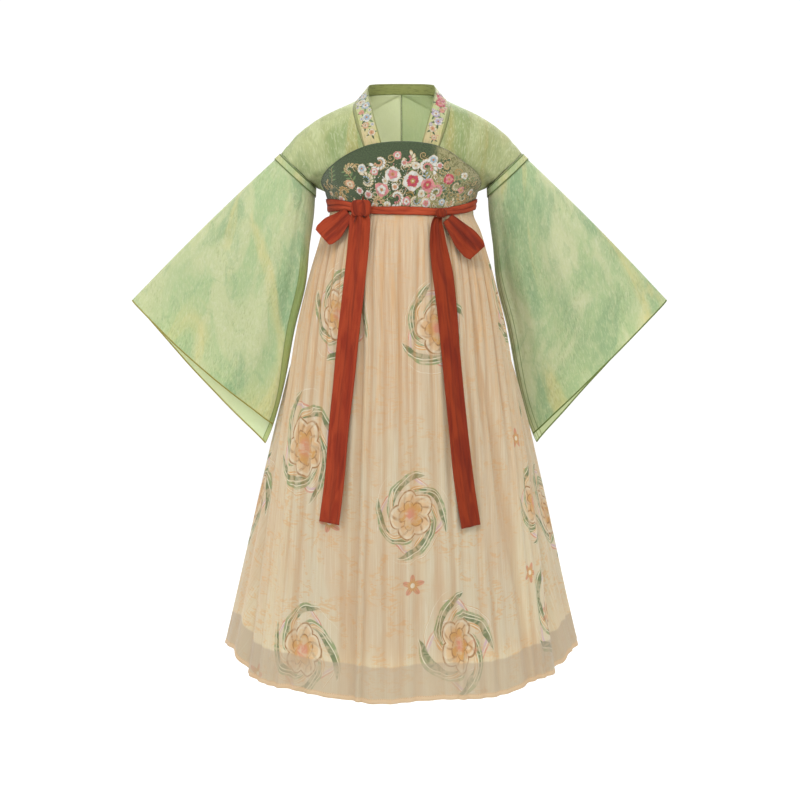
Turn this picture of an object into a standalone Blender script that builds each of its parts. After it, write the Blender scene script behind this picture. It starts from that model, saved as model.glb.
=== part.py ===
"""A two-piece chest-high hanfu: an open-fronted blouse with wide sleeves, a gathered skirt in a
front and a back piece, each with its own chest band and lining, and a ribbon sash with two bows.

Metres, +Z up. The front faces -Y and the wearer's left is +X. The origin is at the base of the
neck, between the shoulders. Every piece of cloth is a sheet of points given a wall by Solidify.
"""

import math

import bpy
import numpy as np

MM = 0.001
SIDES = {"right": -1, "left": 1}  # the wearer's own sides, by the sign of X

# Clearances between two pieces that are sewn edge to edge. Bent edges need more than straight ones.
COLLAR_SEAM = 0.51 * MM
ARMHOLE_SEAM = 0.50 * MM
CENTRE_SEAM = 0.27 * MM  # each half's share at the centre back
SIDE_SEAM = 0.21 * MM  # each half's share under the arm
BAND_SEAM = 0.8 * MM  # between a chest band's foot and the cloth gathered into it

CLOTH = 1.2 * MM  # blouse, sleeves and the outer skirt
LINING = 1.0 * MM
COLLAR = 1.8 * MM  # the collar is a folded strip
BAND = 1.6 * MM
RIBBON = 1.5 * MM

# How far each layer's inner face stands off the figure, at the sash.
BACK_BAND_OUT = 3.0 * MM
FRONT_BAND_OUT = 6.0 * MM
SASH_OUT_FRONT = 9.6 * MM
SASH_OUT_BACK = 6.0 * MM

HEM_Z = -1.236
LINING_LIFT = 0.068  # how far the linings end above the outer hem


def table(columns, rows):
    """A table of numbers, as one array for each named column."""
    values = np.array(rows, float)
    return {name: values[:, i] for i, name in enumerate(columns.split())}


# The general figure that the chest fits, as rings: half its width, and its depth each way.
FIGURE = table(
    "z half_width front back",
    [
        (-0.420, 0.150, 0.110, 0.095),
        (-0.300, 0.148, 0.114, 0.098),
        (-0.250, 0.1475, 0.116, 0.100),
        (-0.225, 0.150, 0.1165, 0.102),
        (-0.200, 0.158, 0.117, 0.104),
        (-0.175, 0.172, 0.1155, 0.104),
        (-0.140, 0.174, 0.111, 0.102),
        (-0.095, 0.174, 0.104, 0.098),
    ],
)
CHEST_SQUARE = 2.5  # exponent of the chest's ring, where 2 is an ellipse

# The collar strip on the wearer's left, from the blouse's hem up to the centre of the back neck.
COLLAR_EDGES = table(
    "in_x in_y in_z out_x out_y out_z",
    [
        (0.004, -0.1105, -0.420, 0.039, -0.1085, -0.420),
        (0.005, -0.1150, -0.300, 0.040, -0.1130, -0.300),
        (0.008, -0.1175, -0.235, 0.043, -0.1155, -0.235),
        (0.018, -0.1175, -0.190, 0.053, -0.1145, -0.192),
        (0.030, -0.1130, -0.143, 0.066, -0.1070, -0.150),
        (0.044, -0.1020, -0.092, 0.080, -0.0930, -0.103),
        (0.057, -0.0800, -0.044, 0.096, -0.0680, -0.055),
        (0.066, -0.0500, -0.008, 0.1025, -0.0360, -0.024),
        (0.0715, -0.012, 0.018, 0.1010, 0.0020, -0.010),
        (0.069, 0.0230, 0.031, 0.0860, 0.0380, 0.006),
        (0.044, 0.0460, 0.036, 0.0520, 0.0610, 0.014),
        (0.000, 0.0560, 0.0375, 0.0000, 0.0710, 0.016),
    ],
)

# The armhole is an oval between the shoulder point and the underarm point.
SHOULDER = np.array([0.260, 0.0, -0.116])
UNDERARM = np.array([0.186, 0.0, -0.188])
ARMHOLE_HALF_DEPTH = 0.052

# Sections of one half of the blouse, up the front, over the shoulder and down the back. Each is a
# curve from its inner edge (the collar, then the centre-back seam) past a corner to its outer edge
# (side seam, armhole, side seam). A NaN inner edge follows the collar; `turn` is the armhole angle.
NAN = float("nan")
BLOUSE_SECTIONS = table(
    "in_y in_z corner_x corner_y corner_z turn out_x out_z",
    [
        (NAN, NAN, 0.134, -0.1060, -0.420, NAN, 0.1500, -0.420),
        (NAN, NAN, 0.132, -0.1100, -0.300, NAN, 0.1480, -0.300),
        (NAN, NAN, 0.133, -0.1120, -0.235, NAN, 0.1485, -0.230),
        (NAN, NAN, 0.139, -0.1110, -0.195, NAN, 0.1580, -0.203),
        (NAN, NAN, 0.143, -0.1040, -0.165, 180, NAN, NAN),
        (NAN, NAN, 0.153, -0.0920, -0.122, 122, NAN, NAN),
        (NAN, NAN, 0.175, -0.0780, -0.080, 75, NAN, NAN),
        (NAN, NAN, 0.190, -0.0440, -0.052, 35, NAN, NAN),
        (NAN, NAN, 0.201, 0.0040, -0.035, 0, NAN, NAN),
        (NAN, NAN, 0.190, 0.0500, -0.043, -35, NAN, NAN),
        (NAN, NAN, 0.172, 0.0820, -0.045, -75, NAN, NAN),
        (NAN, NAN, 0.158, 0.0980, -0.055, -122, NAN, NAN),
        (0.086, -0.050, 0.150, 0.1020, -0.110, -180, NAN, NAN),
        (0.096, -0.130, 0.141, 0.1010, -0.170, NAN, 0.1580, -0.203),
        (0.100, -0.210, 0.134, 0.0985, -0.220, NAN, 0.1485, -0.230),
        (0.097, -0.290, 0.132, 0.0945, -0.300, NAN, 0.1480, -0.300),
        (0.094, -0.420, 0.134, 0.0915, -0.420, NAN, 0.1500, -0.420),
    ],
)
BACK_NECK_ROW = 11  # the section that starts at the centre of the back neck
BLOUSE_STEPS = np.concatenate([[0, 1, 2], np.arange(3, 13.01, 0.625), [14, 15, 16]])
BLOUSE_COLUMNS = 7
GATHER_PITCH = 0.021  # of the soft gathers down the blouse's back
GATHER_DEPTH = 1.6 * MM

# The sleeve, from the armhole to the cuff.
CUFF_TOP = {"right": np.array([0.589, 0.0, -0.432]), "left": np.array([0.580, 0.0, -0.432])}
SLEEVE_UNDER = table(
    "along x z",
    [
        (0.00, 0.186, -0.188),
        (0.09, 0.1885, -0.236),
        (0.23, 0.1985, -0.314),
        (0.35, 0.2050, -0.383),
        (0.54, 0.2320, -0.495),
        (0.76, 0.2550, -0.612),
        (0.92, 0.2815, -0.706),
        (1.00, 0.2980, -0.7465),
    ],
)
SLEEVE_STATIONS = (0.0, 0.045, 0.11, 0.20, 0.32, 0.46, 0.62, 0.80, 1.0)
SLEEVE_COLUMNS = 28
SLEEVE_TOP_RISE = 0.006  # the top edge bows up this much between shoulder and cuff
CUFF_HALF_DEPTH = 0.030
SLEEVE_SWING = {"right": -0.045, "left": 0.045}  # the lower edge lies before or behind the skirt
SLEEVE_REACH = {"right": 0.992, "left": 1.014}  # and the one behind hangs a little longer
REACH_FROM_Z = -0.300
CUFF_BOW = {"right": 0.0075, "left": 0.0}  # how far the cuff bows out at its middle, each way
CUFF_SHORT = {"right": 0.085, "left": 0.040}  # how far the front layer stops before the back one
JOIN_BAND_STATIONS = (0.003, 0.042)
JOIN_BAND_CLEAR = 0.7 * MM
# Long soft folds of a sleeve: where each starts and ends round the tube (degrees from the top,
# front first), how wide it is and how deep.
SLEEVE_FOLDS = table(
    "start end width depth",
    [
        (150, 128, 16, 0.007),
        (118, 92, 18, 0.005),
        (80, 52, 18, 0.004),
        (205, 235, 16, 0.007),
        (250, 275, 18, 0.005),
        (290, 318, 18, 0.004),
    ],
)

# The front chest band: its top is an arch that drops under the arms.
BAND_TOP = table(
    "angle z",
    [
        (-84, -0.2110),
        (-77, -0.1960),
        (-71, -0.1760),
        (-47, -0.1400),
        (-27, -0.1140),
        (-14, -0.1015),
        (0, -0.0965),
        (14, -0.1010),
        (27, -0.1140),
        (42, -0.1380),
        (56, -0.1560),
        (71, -0.1810),
        (77, -0.1980),
        (84, -0.2110),
    ],
)
BAND_FOOT = table("angle z", [(0, -0.243), (45, -0.241), (84, -0.229)])
BAND_END = 84
BACK_BAND_START = 79
BACK_BAND_TOP = table("angle z", [(79, -0.2125), (110, -0.208), (180, -0.203)])
BACK_BAND_FOOT = table("angle z", [(79, -0.258), (180, -0.262)])

HEM = table(
    "angle z",
    [
        (0, HEM_Z),
        (30, -1.2310),
        (60, -1.2120),
        (70, -1.1930),
        (90, -1.1900),
        (130, -1.2010),
        (180, -1.2100),
    ],
)
HEM_WAVE = 0.003  # the hems rise and fall this much

# The skirt's layers as rings, each by its mean surface: half width, depth forward and backward.
FRONT_SKIRT = table(
    "z half_width front back",
    [
        (HEM_Z, 0.384, 0.317, 0.317),
        (-1.000, 0.341, 0.276, 0.276),
        (-0.740, 0.2865, 0.226, 0.226),
        (-0.600, 0.2550, 0.199, 0.199),
        (-0.495, 0.2320, 0.180, 0.180),
        (-0.366, 0.1955, 0.154, 0.154),
        (-0.3227, 0.1815, 0.1435, 0.1435),
        (-0.280, 0.1685, 0.1325, 0.1325),
        (-0.252, 0.1560, 0.1235, 0.1235),
        (-0.243, 0.1545, 0.1225, 0.1225),
        (-0.225, 0.1563, 0.1228, 0.1228),
    ],
)
FRONT_LINING = table(
    "z half_width front back",
    [
        (-1.155, 0.350, 0.276, 0.276),
        (-1.000, 0.318, 0.249, 0.249),
        (-0.740, 0.264, 0.203, 0.203),
        (-0.495, 0.2070, 0.161, 0.161),
        (-0.366, 0.1815, 0.1400, 0.1400),
        (-0.3227, 0.1680, 0.1325, 0.1325),
        (-0.280, 0.1570, 0.1245, 0.1245),
        (-0.243, 0.1510, 0.1195, 0.1195),
        (-0.225, 0.1528, 0.1200, 0.1200),
    ],
)
BACK_SKIRT = table(
    "z half_width front back",
    [
        (HEM_Z, 0.403, 0.238, 0.318),
        (-1.000, 0.346, 0.205, 0.272),
        (-0.740, 0.285, 0.164, 0.214),
        (-0.600, 0.2490, 0.143, 0.185),
        (-0.495, 0.2165, 0.130, 0.165),
        (-0.366, 0.1790, 0.121, 0.139),
        (-0.300, 0.1605, 0.118, 0.120),
        (-0.256, 0.1517, 0.118, 0.1047),
    ],
)
BACK_LINING = table(
    "z half_width front back",
    [
        (-1.155, 0.356, 0.138, 0.274),
        (-1.000, 0.320, 0.130, 0.243),
        (-0.740, 0.260, 0.120, 0.190),
        (-0.495, 0.1965, 0.116, 0.149),
        (-0.366, 0.1650, 0.114, 0.127),
        (-0.300, 0.1535, 0.114, 0.109),
        (-0.256, 0.1498, 0.115, 0.1025),
    ],
)
SKIRT_SQUARE_TOP = CHEST_SQUARE
SKIRT_SQUARE_HEM = 2.0
SQUARE_ENDS_Z = -0.55  # below this the rings are plain ellipses
SQUARE_FADE = 0.30

# Depth of the gathers against the drop below the seam.
GATHERS = table(
    "drop depth",
    [
        (0.000, 0.0),
        (0.016, 0.0007),
        (0.060, 0.0030),
        (0.130, 0.0042),
        (0.270, 0.0052),
        (0.550, 0.0068),
        (1.000, 0.0090),
    ],
)
SKIRT_DROPS = (0.0, 0.018, 0.052, 0.11, 0.21, 0.36, 0.55, 0.77, 1.0)
LINING_DROPS = (0.0, 0.06, 0.18, 0.42, 0.70, 1.0)
LINING_DEPTH = 0.35  # the lining's gathers, as a share of the outer layer's
COLUMNS_PER_FOLD = 4
TOP_UNEVEN = 0.25  # how much the folds differ in width at the top and at the hem
HEM_UNEVEN = 0.45

# The longest folds of the front piece: angle at the top and at the hem, width, and depth inward.
FRONT_LONG_FOLDS = table(
    "top hem width depth",
    [
        (-52, -38, 5.0, 0.008),
        (-21, -16, 4.0, 0.011),
        (3, 4, 5.0, 0.007),
        (17, 13, 4.0, 0.006),
        (40, 47, 4.5, 0.012),
    ],
)
BACK_LONG_FOLDS = table(
    "top hem width depth",
    [
        (118, 126, 5.0, 0.013),
        (146, 150, 4.0, 0.010),
        (171, 167, 5.0, 0.014),
        (204, 209, 4.5, 0.010),
        (236, 229, 5.0, 0.013),
    ],
)

NO_LONG_FOLDS = table("top hem width depth", np.zeros((0, 4)))
OUTER = {
    "drops": SKIRT_DROPS,
    "lift": 0.0,
    "hem_waves": 9,
    "depth": 1.0,
    "wall": CLOTH,
    "finish": "skirt_cloth",
}
INNER = {
    "drops": LINING_DROPS,
    "long_folds": NO_LONG_FOLDS,
    "lift": LINING_LIFT,
    "hem_waves": 5,
    "depth": LINING_DEPTH,
    "wall": LINING,
    "finish": "lining_cloth",
}
SKIRT_LAYERS = {
    "skirt_front": {
        **OUTER,
        "rings": FRONT_SKIRT,
        "seam": BAND_FOOT,
        "top_angles": (-84, 84),
        "hem_angles": (-60, 60),
        "folds": 22,
        "long_folds": FRONT_LONG_FOLDS,
    },
    "skirt_back": {
        **OUTER,
        "rings": BACK_SKIRT,
        "seam": BACK_BAND_FOOT,
        "top_angles": (79, 281),
        "hem_angles": (46, 314),
        "folds": 26,
        "long_folds": BACK_LONG_FOLDS,
    },
    "lining_front": {
        **INNER,
        "rings": FRONT_LINING,
        "seam": BAND_FOOT,
        "top_angles": (-76, 76),
        "hem_angles": (-45, 45),
        "folds": 9,
    },
    "lining_back": {
        **INNER,
        "rings": BACK_LINING,
        "seam": BACK_BAND_FOOT,
        "top_angles": (84, 276),
        "hem_angles": (62, 298),
        "folds": 10,
    },
}

# The sash: its middle and its half height all round, by angle from the front.
SASH = table(
    "angle z half_height",
    [
        (-180, -0.236, 0.0095),
        (-120, -0.231, 0.0100),
        (-84, -0.2275, 0.0140),
        (-55, -0.2280, 0.0120),
        (-38, -0.2315, 0.0095),
        (-25, -0.2375, 0.0070),
        (-15, -0.2395, 0.0070),
        (0, -0.2400, 0.0080),
        (24, -0.2425, 0.0072),
        (50, -0.2360, 0.0090),
        (84, -0.2245, 0.0115),
        (120, -0.230, 0.0100),
        (180, -0.236, 0.0095),
    ],
)
SASH_CREASES = (0.0, 1.5 * MM, 0.3 * MM, 1.9 * MM, 0.2 * MM)  # across the ribbon, from its top
SASH_STEPS_IN = (86, 98)  # between these angles it steps in from the front piece to the back one
SASH_END = 0.1  # degrees that each stretch stops short of its neighbour
KNOT_ANGLE = {"right": -25.0, "left": 24.0}
SASH_STRETCHES = {  # name: first angle, last angle, columns
    "sash_front": (-25.0, 24.0, 14),
    "sash_right_side": (-88.0, -25.0, 10),
    "sash_left_side": (24.0, 88.0, 10),
    "sash_back": (88.0, 272.0, 22),
}

# Bows. Loops and tails are ribbons by their middle line; x and z only, y comes from the skirt.
KNOT_SEAT = {"right": 2.2 * MM, "left": 3.3 * MM}  # over the sash's inner face
KNOT_RISE = {"right": 4.0 * MM, "left": -2.5 * MM}  # over the sash's middle
KNOT_RINGS = 7
KNOT_COLUMNS = 12
KNOT_BULGE = 0.07
KNOT_SIZE = {"right": (0.037, 0.015, 0.023), "left": (0.023, 0.016, 0.018)}
TAILS = {
    "right": table(
        "x z width",
        [
            (-0.0880, -0.2454, 0.034),
            (-0.0872, -0.2640, 0.044),
            (-0.0912, -0.3216, 0.045),
            (-0.0988, -0.3936, 0.045),
            (-0.1124, -0.5143, 0.045),
            (-0.1205, -0.5978, 0.044),
            (-0.1295, -0.6809, 0.042),
            (-0.1384, -0.7900, 0.041),
            (-0.1494, -0.8796, 0.042),
        ],
    ),
    "left": table(
        "x z width",
        [
            (0.0765, -0.2536, 0.016),
            (0.0735, -0.2700, 0.024),
            (0.0757, -0.3052, 0.034),
            (0.0869, -0.3792, 0.043),
            (0.0960, -0.4612, 0.041),
            (0.1031, -0.5429, 0.039),
            (0.1151, -0.6688, 0.039),
            (0.1281, -0.7900, 0.041),
            (0.1430, -0.8869, 0.040),
        ],
    ),
}
TAIL_LIFT = {"right": 12.6 * MM, "left": 3.0 * MM}  # off the skirt at the knot
TAIL_LIFT_ENDS = 0.050
TAIL_CLEAR = 2.5 * MM
TAIL_SWAY = 1.5 * MM
TAIL_SWAY_TURN = 14  # radians for each metre down
TAIL_PINCH = table("drop depth", [(0.0, 0.0030), (0.05, 0.0022), (0.2, 0.0008), (0.64, 0.0012)])
LOOPS = {  # root (x, z) and tip (x, z)
    "right": ((-0.1110, -0.2450), (-0.1665, -0.2955)),
    "left": ((0.0962, -0.2562), (0.1590, -0.3280)),
}
LOOP_WIDTH = table(
    "along width",
    [(0.0, 0.026), (0.3, 0.039), (0.65, 0.053), (0.88, 0.051), (1.0, 0.042)],
)
LOOP_SHAPE = table(  # heights of its two layers, as shares of half its opening
    "along upper under",
    [
        (0.00, 0.35, -0.35),
        (0.25, 0.85, -0.70),
        (0.50, 1.00, -1.00),
        (0.75, 0.95, -0.95),
        (0.93, 0.70, -0.70),
        (1.00, 0.30, -0.30),
    ],
)
LOOP_PUCKER = 1.2 * MM  # at its root
LOOP_STOPS_X = 0.135  # past this the loop goes straight on, and leaves the skirt's rounding side
LOOP_HALF_OPEN = 5.0 * MM
LOOP_LEAN = 3.0 * MM  # clearance of a loop's under layer over the skirt

PAINT = {  # colour and roughness of each finish
    "blouse_cloth": ((0.49, 0.58, 0.32, 1.0), 0.75),
    "collar_cloth": ((0.30, 0.34, 0.13, 1.0), 0.7),
    "band_cloth": ((0.10, 0.15, 0.06, 1.0), 0.7),
    "skirt_cloth": ((0.66, 0.50, 0.31, 1.0), 0.8),
    "lining_cloth": ((0.70, 0.55, 0.36, 1.0), 0.8),
    "ribbon_cloth": ((0.32, 0.05, 0.02, 1.0), 0.75),
}


# ---------------------------------------------------------------- numbers


def smooth(x, y, at):
    """The smooth curve through a table's points that never overshoots them (monotone cubic)."""
    order = np.argsort(x)
    x, y = x[order], y[order]
    at = np.clip(np.asarray(at, float), x[0], x[-1])
    run = np.diff(x)
    rise = np.diff(y) / run
    slope = np.concatenate([rise[:1], np.zeros(len(x) - 2), rise[-1:]])
    same_way = rise[:-1] * rise[1:] > 0
    middle = slope[1:-1]
    middle[same_way] = 2 / (1 / rise[:-1][same_way] + 1 / rise[1:][same_way])
    i = np.clip(np.searchsorted(x, at, side="right") - 1, 0, len(run) - 1)
    t = (at - x[i]) / run[i]
    return (
        y[i] * (1 + 2 * t) * (1 - t) ** 2
        + slope[i] * run[i] * t * (1 - t) ** 2
        + y[i + 1] * t**2 * (3 - 2 * t)
        + slope[i + 1] * run[i] * t**2 * (t - 1)
    )


def ease(t):
    """0 to 1 with a soft start and end."""
    t = np.clip(t, 0.0, 1.0)
    return t * t * (3 - 2 * t)


def bell(distance, width):
    """A soft bump of height 1 that is gone at about twice its width."""
    return np.exp(-((distance / width) ** 2))


def ring(angle, half_width, front, back, square):
    """x and y on a rounded ring, at an angle in degrees from the front."""
    turn = np.radians(angle)
    sine, cosine = np.sin(turn), np.cos(turn)
    power = 2 / square
    x = half_width * np.sign(sine) * np.abs(sine) ** power
    depth = np.where(cosine > 0, front, back)
    return x, -depth * np.sign(cosine) * np.abs(cosine) ** power


def on_figure(angle, z, out):
    """Points of the chest's ring at each angle and height, moved out."""
    sizes = [smooth(FIGURE["z"], FIGURE[part], z) + out for part in ("half_width", "front", "back")]
    x, y = ring(angle, *sizes, CHEST_SQUARE)
    return np.stack([x, y, np.broadcast_to(z, x.shape)], axis=-1)


# ---------------------------------------------------------------- meshes


def finish_of(piece, finish):
    """A Principled material of the piece's own, in one of the finishes."""
    colour, roughness = PAINT[finish]
    material = bpy.data.materials.new(f"{piece}_{finish}")
    material.use_nodes = True
    shader = material.node_tree.nodes["Principled BSDF"]
    shader.inputs["Base Color"].default_value = colour
    shader.inputs["Roughness"].default_value = roughness
    shader.inputs["Metallic"].default_value = 0.0
    return material


def grid_faces(rows, columns, closed):
    """Quads of a grid of points, whose last column meets its first where it is closed."""
    across = columns if closed else columns - 1
    return [
        (
            r * columns + c,
            r * columns + (c + 1) % columns,
            (r + 1) * columns + (c + 1) % columns,
            (r + 1) * columns + c,
        )
        for r in range(rows - 1)
        for c in range(across)
    ]


def normals_of(grid, closed):
    """The unit normal at each point of a grid."""
    down = np.gradient(grid, axis=0)
    if closed:
        across = np.roll(grid, -1, axis=1) - np.roll(grid, 1, axis=1)
    else:
        across = np.gradient(grid, axis=1)
    normal = np.cross(across, down)
    return normal / np.linalg.norm(normal, axis=-1, keepdims=True)


def cloth(name, grid, wall, finish, closed=False, flip=False):
    """A piece of cloth: a grid of points on its inner face, with a wall added outward."""
    rows, columns, _ = grid.shape
    faces = grid_faces(rows, columns, closed)
    if flip:
        faces = [face[::-1] for face in faces]
    mesh = bpy.data.meshes.new(name)
    mesh.from_pydata(grid.reshape(-1, 3).tolist(), [], faces)
    mesh.shade_smooth()
    mesh.materials.append(finish_of(name, finish))
    piece = bpy.data.objects.new(name, mesh)
    bpy.context.scene.collection.objects.link(piece)
    solid = piece.modifiers.new("wall", "SOLIDIFY")
    solid.thickness = wall
    solid.offset = 1.0
    solid.use_even_offset = True
    solid.use_rim = True
    return piece


# ---------------------------------------------------------------- blouse


def collar_edge(which, steps):
    """Points along the collar's inner or outer edge, on the wearer's left, hem to back neck."""
    place = np.arange(len(COLLAR_EDGES["in_x"]), dtype=float)
    return np.stack([smooth(place, COLLAR_EDGES[f"{which}_{axis}"], steps) for axis in "xyz"], axis=-1)


def build_collar():
    """One folded strip, down both fronts and round the back neck, where it stands up."""
    last = len(COLLAR_EDGES["in_x"]) - 1
    steps = np.concatenate([np.linspace(0, 3, 4), np.linspace(3.75, last, 13)])
    inner, outer = collar_edge("in", steps), collar_edge("out", steps)
    middle = (inner + outer) / 2
    half = np.stack([outer, middle, inner], axis=0)
    mirrored = half[:, :-1] * np.array([-1.0, 1.0, 1.0])
    grid = np.concatenate([mirrored, half[:, ::-1]], axis=1)
    cloth("collar", grid, COLLAR, "collar_cloth", flip=True)


def armhole(turn):
    """Points round the armhole on the wearer's left, by degrees from the top, the front first."""
    turn = np.radians(turn)
    middle, reach = (SHOULDER + UNDERARM) / 2, (SHOULDER - UNDERARM) / 2
    points = middle + np.cos(turn)[..., None] * reach
    points[..., 1] -= ARMHOLE_HALF_DEPTH * np.sin(turn)
    return points


def blouse_sections():
    """The inner edge, corner and outer edge of every section of the blouse's left half."""
    count = len(BLOUSE_SECTIONS["turn"])
    inner, corner, outer = np.zeros((3, count, 3))
    for i in range(count):
        row = {name: values[i] for name, values in BLOUSE_SECTIONS.items()}
        if math.isnan(row["in_y"]):
            edge, other = collar_edge("out", np.array(float(i))), collar_edge("in", np.array(float(i)))
            away = edge - other
            inner[i] = edge + away / np.linalg.norm(away) * COLLAR_SEAM
            inner[i, 0] = max(inner[i, 0], CENTRE_SEAM)
        else:
            inner[i] = (CENTRE_SEAM, row["in_y"], row["in_z"])
        corner[i] = (row["corner_x"], row["corner_y"], row["corner_z"])
        if math.isnan(row["turn"]):
            outer[i] = (row["out_x"], 0.0, row["out_z"])
        else:
            outer[i] = armhole(np.array(row["turn"]))
        if math.isnan(row["turn"]) or abs(row["turn"]) == 180:
            outer[i, 1] = math.copysign(SIDE_SEAM, i - BACK_NECK_ROW + 1)
    return inner, corner, outer


def build_blouse(side, sign):
    """One half of the blouse, cut in one over the shoulder, with a centre-back seam."""
    edges = blouse_sections()
    place = np.arange(len(edges[0]), dtype=float)
    inner, corner, outer = (
        np.stack([smooth(place, edge[:, axis], BLOUSE_STEPS) for axis in range(3)], axis=-1)
        for edge in edges
    )
    across = np.linspace(0, 1, BLOUSE_COLUMNS)[None, :, None]
    grid = (1 - across) ** 2 * inner[:, None] + 2 * across * (1 - across) * corner[:, None]
    grid = grid + across**2 * outer[:, None]
    # Soft gathers hang below the back neck, and die away at the seams.
    below_neck = ease((BLOUSE_STEPS - BACK_NECK_ROW) / 1.5)
    above_hem = ease((place[-1] - BLOUSE_STEPS) / 2)
    back = (below_neck * above_hem)[:, None]
    across = across[..., 0]
    wave = np.sin(grid[..., 0] / GATHER_PITCH * 2 * math.pi) * ease(across * 4) * ease((1 - across) * 3)
    grid[..., 1] += GATHER_DEPTH * back * wave
    grid[..., 0] *= sign
    cloth(f"blouse_{side}", grid, CLOTH, "blouse_cloth", flip=sign > 0)


def sleeve_points(side, stations, columns):
    """The sleeve on one side as a tube: a ring of points at each station from armhole to cuff."""
    turn = np.arange(columns) * 360.0 / columns
    down = (1 - np.cos(np.radians(turn))) / 2  # 0 at the top edge, 1 at the lower edge
    front = ease(turn / 30) * ease((187 - turn) / 14)
    along = np.array(stations)[:, None] * (1 - CUFF_SHORT[side] * front * down)
    top = SHOULDER + along[..., None] * (CUFF_TOP[side] - SHOULDER)
    top[..., 2] += SLEEVE_TOP_RISE * np.sin(math.pi * along)
    under = np.stack(
        [smooth(SLEEVE_UNDER["along"], SLEEVE_UNDER[axis], along) for axis in ("x", "z")], axis=-1
    )
    centre = np.array([0.0, REACH_FROM_Z])
    under = centre + (under - centre) * (1 + (SLEEVE_REACH[side] - 1) * ease(along * 3))[..., None]
    grid = np.zeros(along.shape + (3,))
    grid[..., 0] = top[..., 0] + down * (under[..., 0] - top[..., 0])
    grid[..., 2] = top[..., 2] + down * (under[..., 1] - top[..., 2])
    bow = CUFF_BOW[side] * np.sin(math.pi * down) * along**4
    grid[..., 0] += bow
    grid[..., 2] -= bow
    depth = ARMHOLE_HALF_DEPTH + ease(along * 1.15) * (CUFF_HALF_DEPTH - ARMHOLE_HALF_DEPTH)
    grid[..., 1] = -depth * np.sin(np.radians(turn))
    grid[..., 1] += SLEEVE_SWING[side] * down**1.5 * ease(along * 3)
    folds = zip(*(SLEEVE_FOLDS[name] for name in ("start", "end", "width", "depth")))
    facing = np.where(turn < 180, -1.0, 1.0)
    for start, end, width, deep in folds:
        line = start + (end - start) * along
        grid[..., 1] -= facing * deep * bell(turn - line, width) * ease(along * 4) * np.minimum(1, along * 2)
    return grid


def build_sleeve(side, sign):
    """A wide sleeve, cut in one piece and closed along its lower edge, with an open cuff."""
    grid = sleeve_points(side, SLEEVE_STATIONS, SLEEVE_COLUMNS)
    reach = CUFF_TOP[side] - SHOULDER
    grid[0] += ARMHOLE_SEAM * reach / np.linalg.norm(reach)
    grid[..., 0] *= sign
    cloth(f"sleeve_{side}", grid, CLOTH, "blouse_cloth", closed=True, flip=sign > 0)


def build_join_band(side, sign):
    """The narrow band that covers the sleeve's join."""
    grid = sleeve_points(side, JOIN_BAND_STATIONS, SLEEVE_COLUMNS)
    grid[..., 0] *= sign
    around = sleeve_points(side, (0.0, 0.045), SLEEVE_COLUMNS)
    around[..., 0] *= sign
    grid += sign * normals_of(around, True) * (CLOTH + JOIN_BAND_CLEAR)
    cloth(f"join_band_{side}", grid, CLOTH, "blouse_cloth", closed=True, flip=sign > 0)


# ---------------------------------------------------------------- chest bands and skirt


def skirt_square(z):
    """The exponent of the skirt's ring at a height: square on the chest, plain below."""
    return SKIRT_SQUARE_HEM + (SKIRT_SQUARE_TOP - SKIRT_SQUARE_HEM) * ease((z - SQUARE_ENDS_Z) / SQUARE_FADE)


def build_bands():
    """The front band, arched over the chest, and the straight back band that it overlaps."""
    angle = np.linspace(-BAND_END, BAND_END, 25)
    top = smooth(BAND_TOP["angle"], BAND_TOP["z"], angle)
    foot = smooth(BAND_FOOT["angle"], BAND_FOOT["z"], np.abs(angle))
    share = np.linspace(0, 1, 6)[:, None]
    grid = on_figure(angle[None, :] + 0 * share, top + share * (foot - top), FRONT_BAND_OUT)
    cloth("chest_band_front", grid, BAND, "band_cloth", flip=True)

    angle = np.linspace(BACK_BAND_START, 360 - BACK_BAND_START, 27)
    top = smooth(BACK_BAND_TOP["angle"], BACK_BAND_TOP["z"], from_front(angle))
    foot = smooth(BACK_BAND_FOOT["angle"], BACK_BAND_FOOT["z"], from_front(angle))
    share = np.linspace(0, 1, 4)[:, None]
    grid = on_figure(angle[None, :] + 0 * share, top + share * (foot - top), BACK_BAND_OUT)
    cloth("chest_band_back", grid, BAND, "band_cloth", flip=True)


def fold_angles(first, last, folds, uneven):
    """The angle of each column, with folds of uneven width, and how deep each fold is."""
    number = np.arange(folds)
    width = 1 + uneven * (0.6 * np.sin(2.1 * number + 1) + 0.4 * np.sin(5.3 * number))
    edges = np.concatenate([[0], np.cumsum(width)]) / width.sum()
    column = np.arange(folds * COLUMNS_PER_FOLD + 1) / COLUMNS_PER_FOLD
    share = np.interp(column, np.arange(folds + 1), edges)
    depth = np.interp(column, number + 0.5, 0.75 + 0.25 * np.sin(1.7 * number + 0.6) * np.cos(0.9 * number))
    return first + share * (last - first), depth, -np.cos(2 * math.pi * column)


def from_front(angle):
    """The angle from the front, on either side."""
    return np.minimum(np.abs(angle), 360 - np.abs(angle))


def layer_hem(layer, angle):
    """Height of a layer's hem: level in front, lifted behind the front piece's edges."""
    wave = HEM_WAVE * np.sin(np.radians(angle) * layer["hem_waves"])
    return smooth(HEM["angle"], HEM["z"], from_front(angle)) + layer["lift"] + wave


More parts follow.
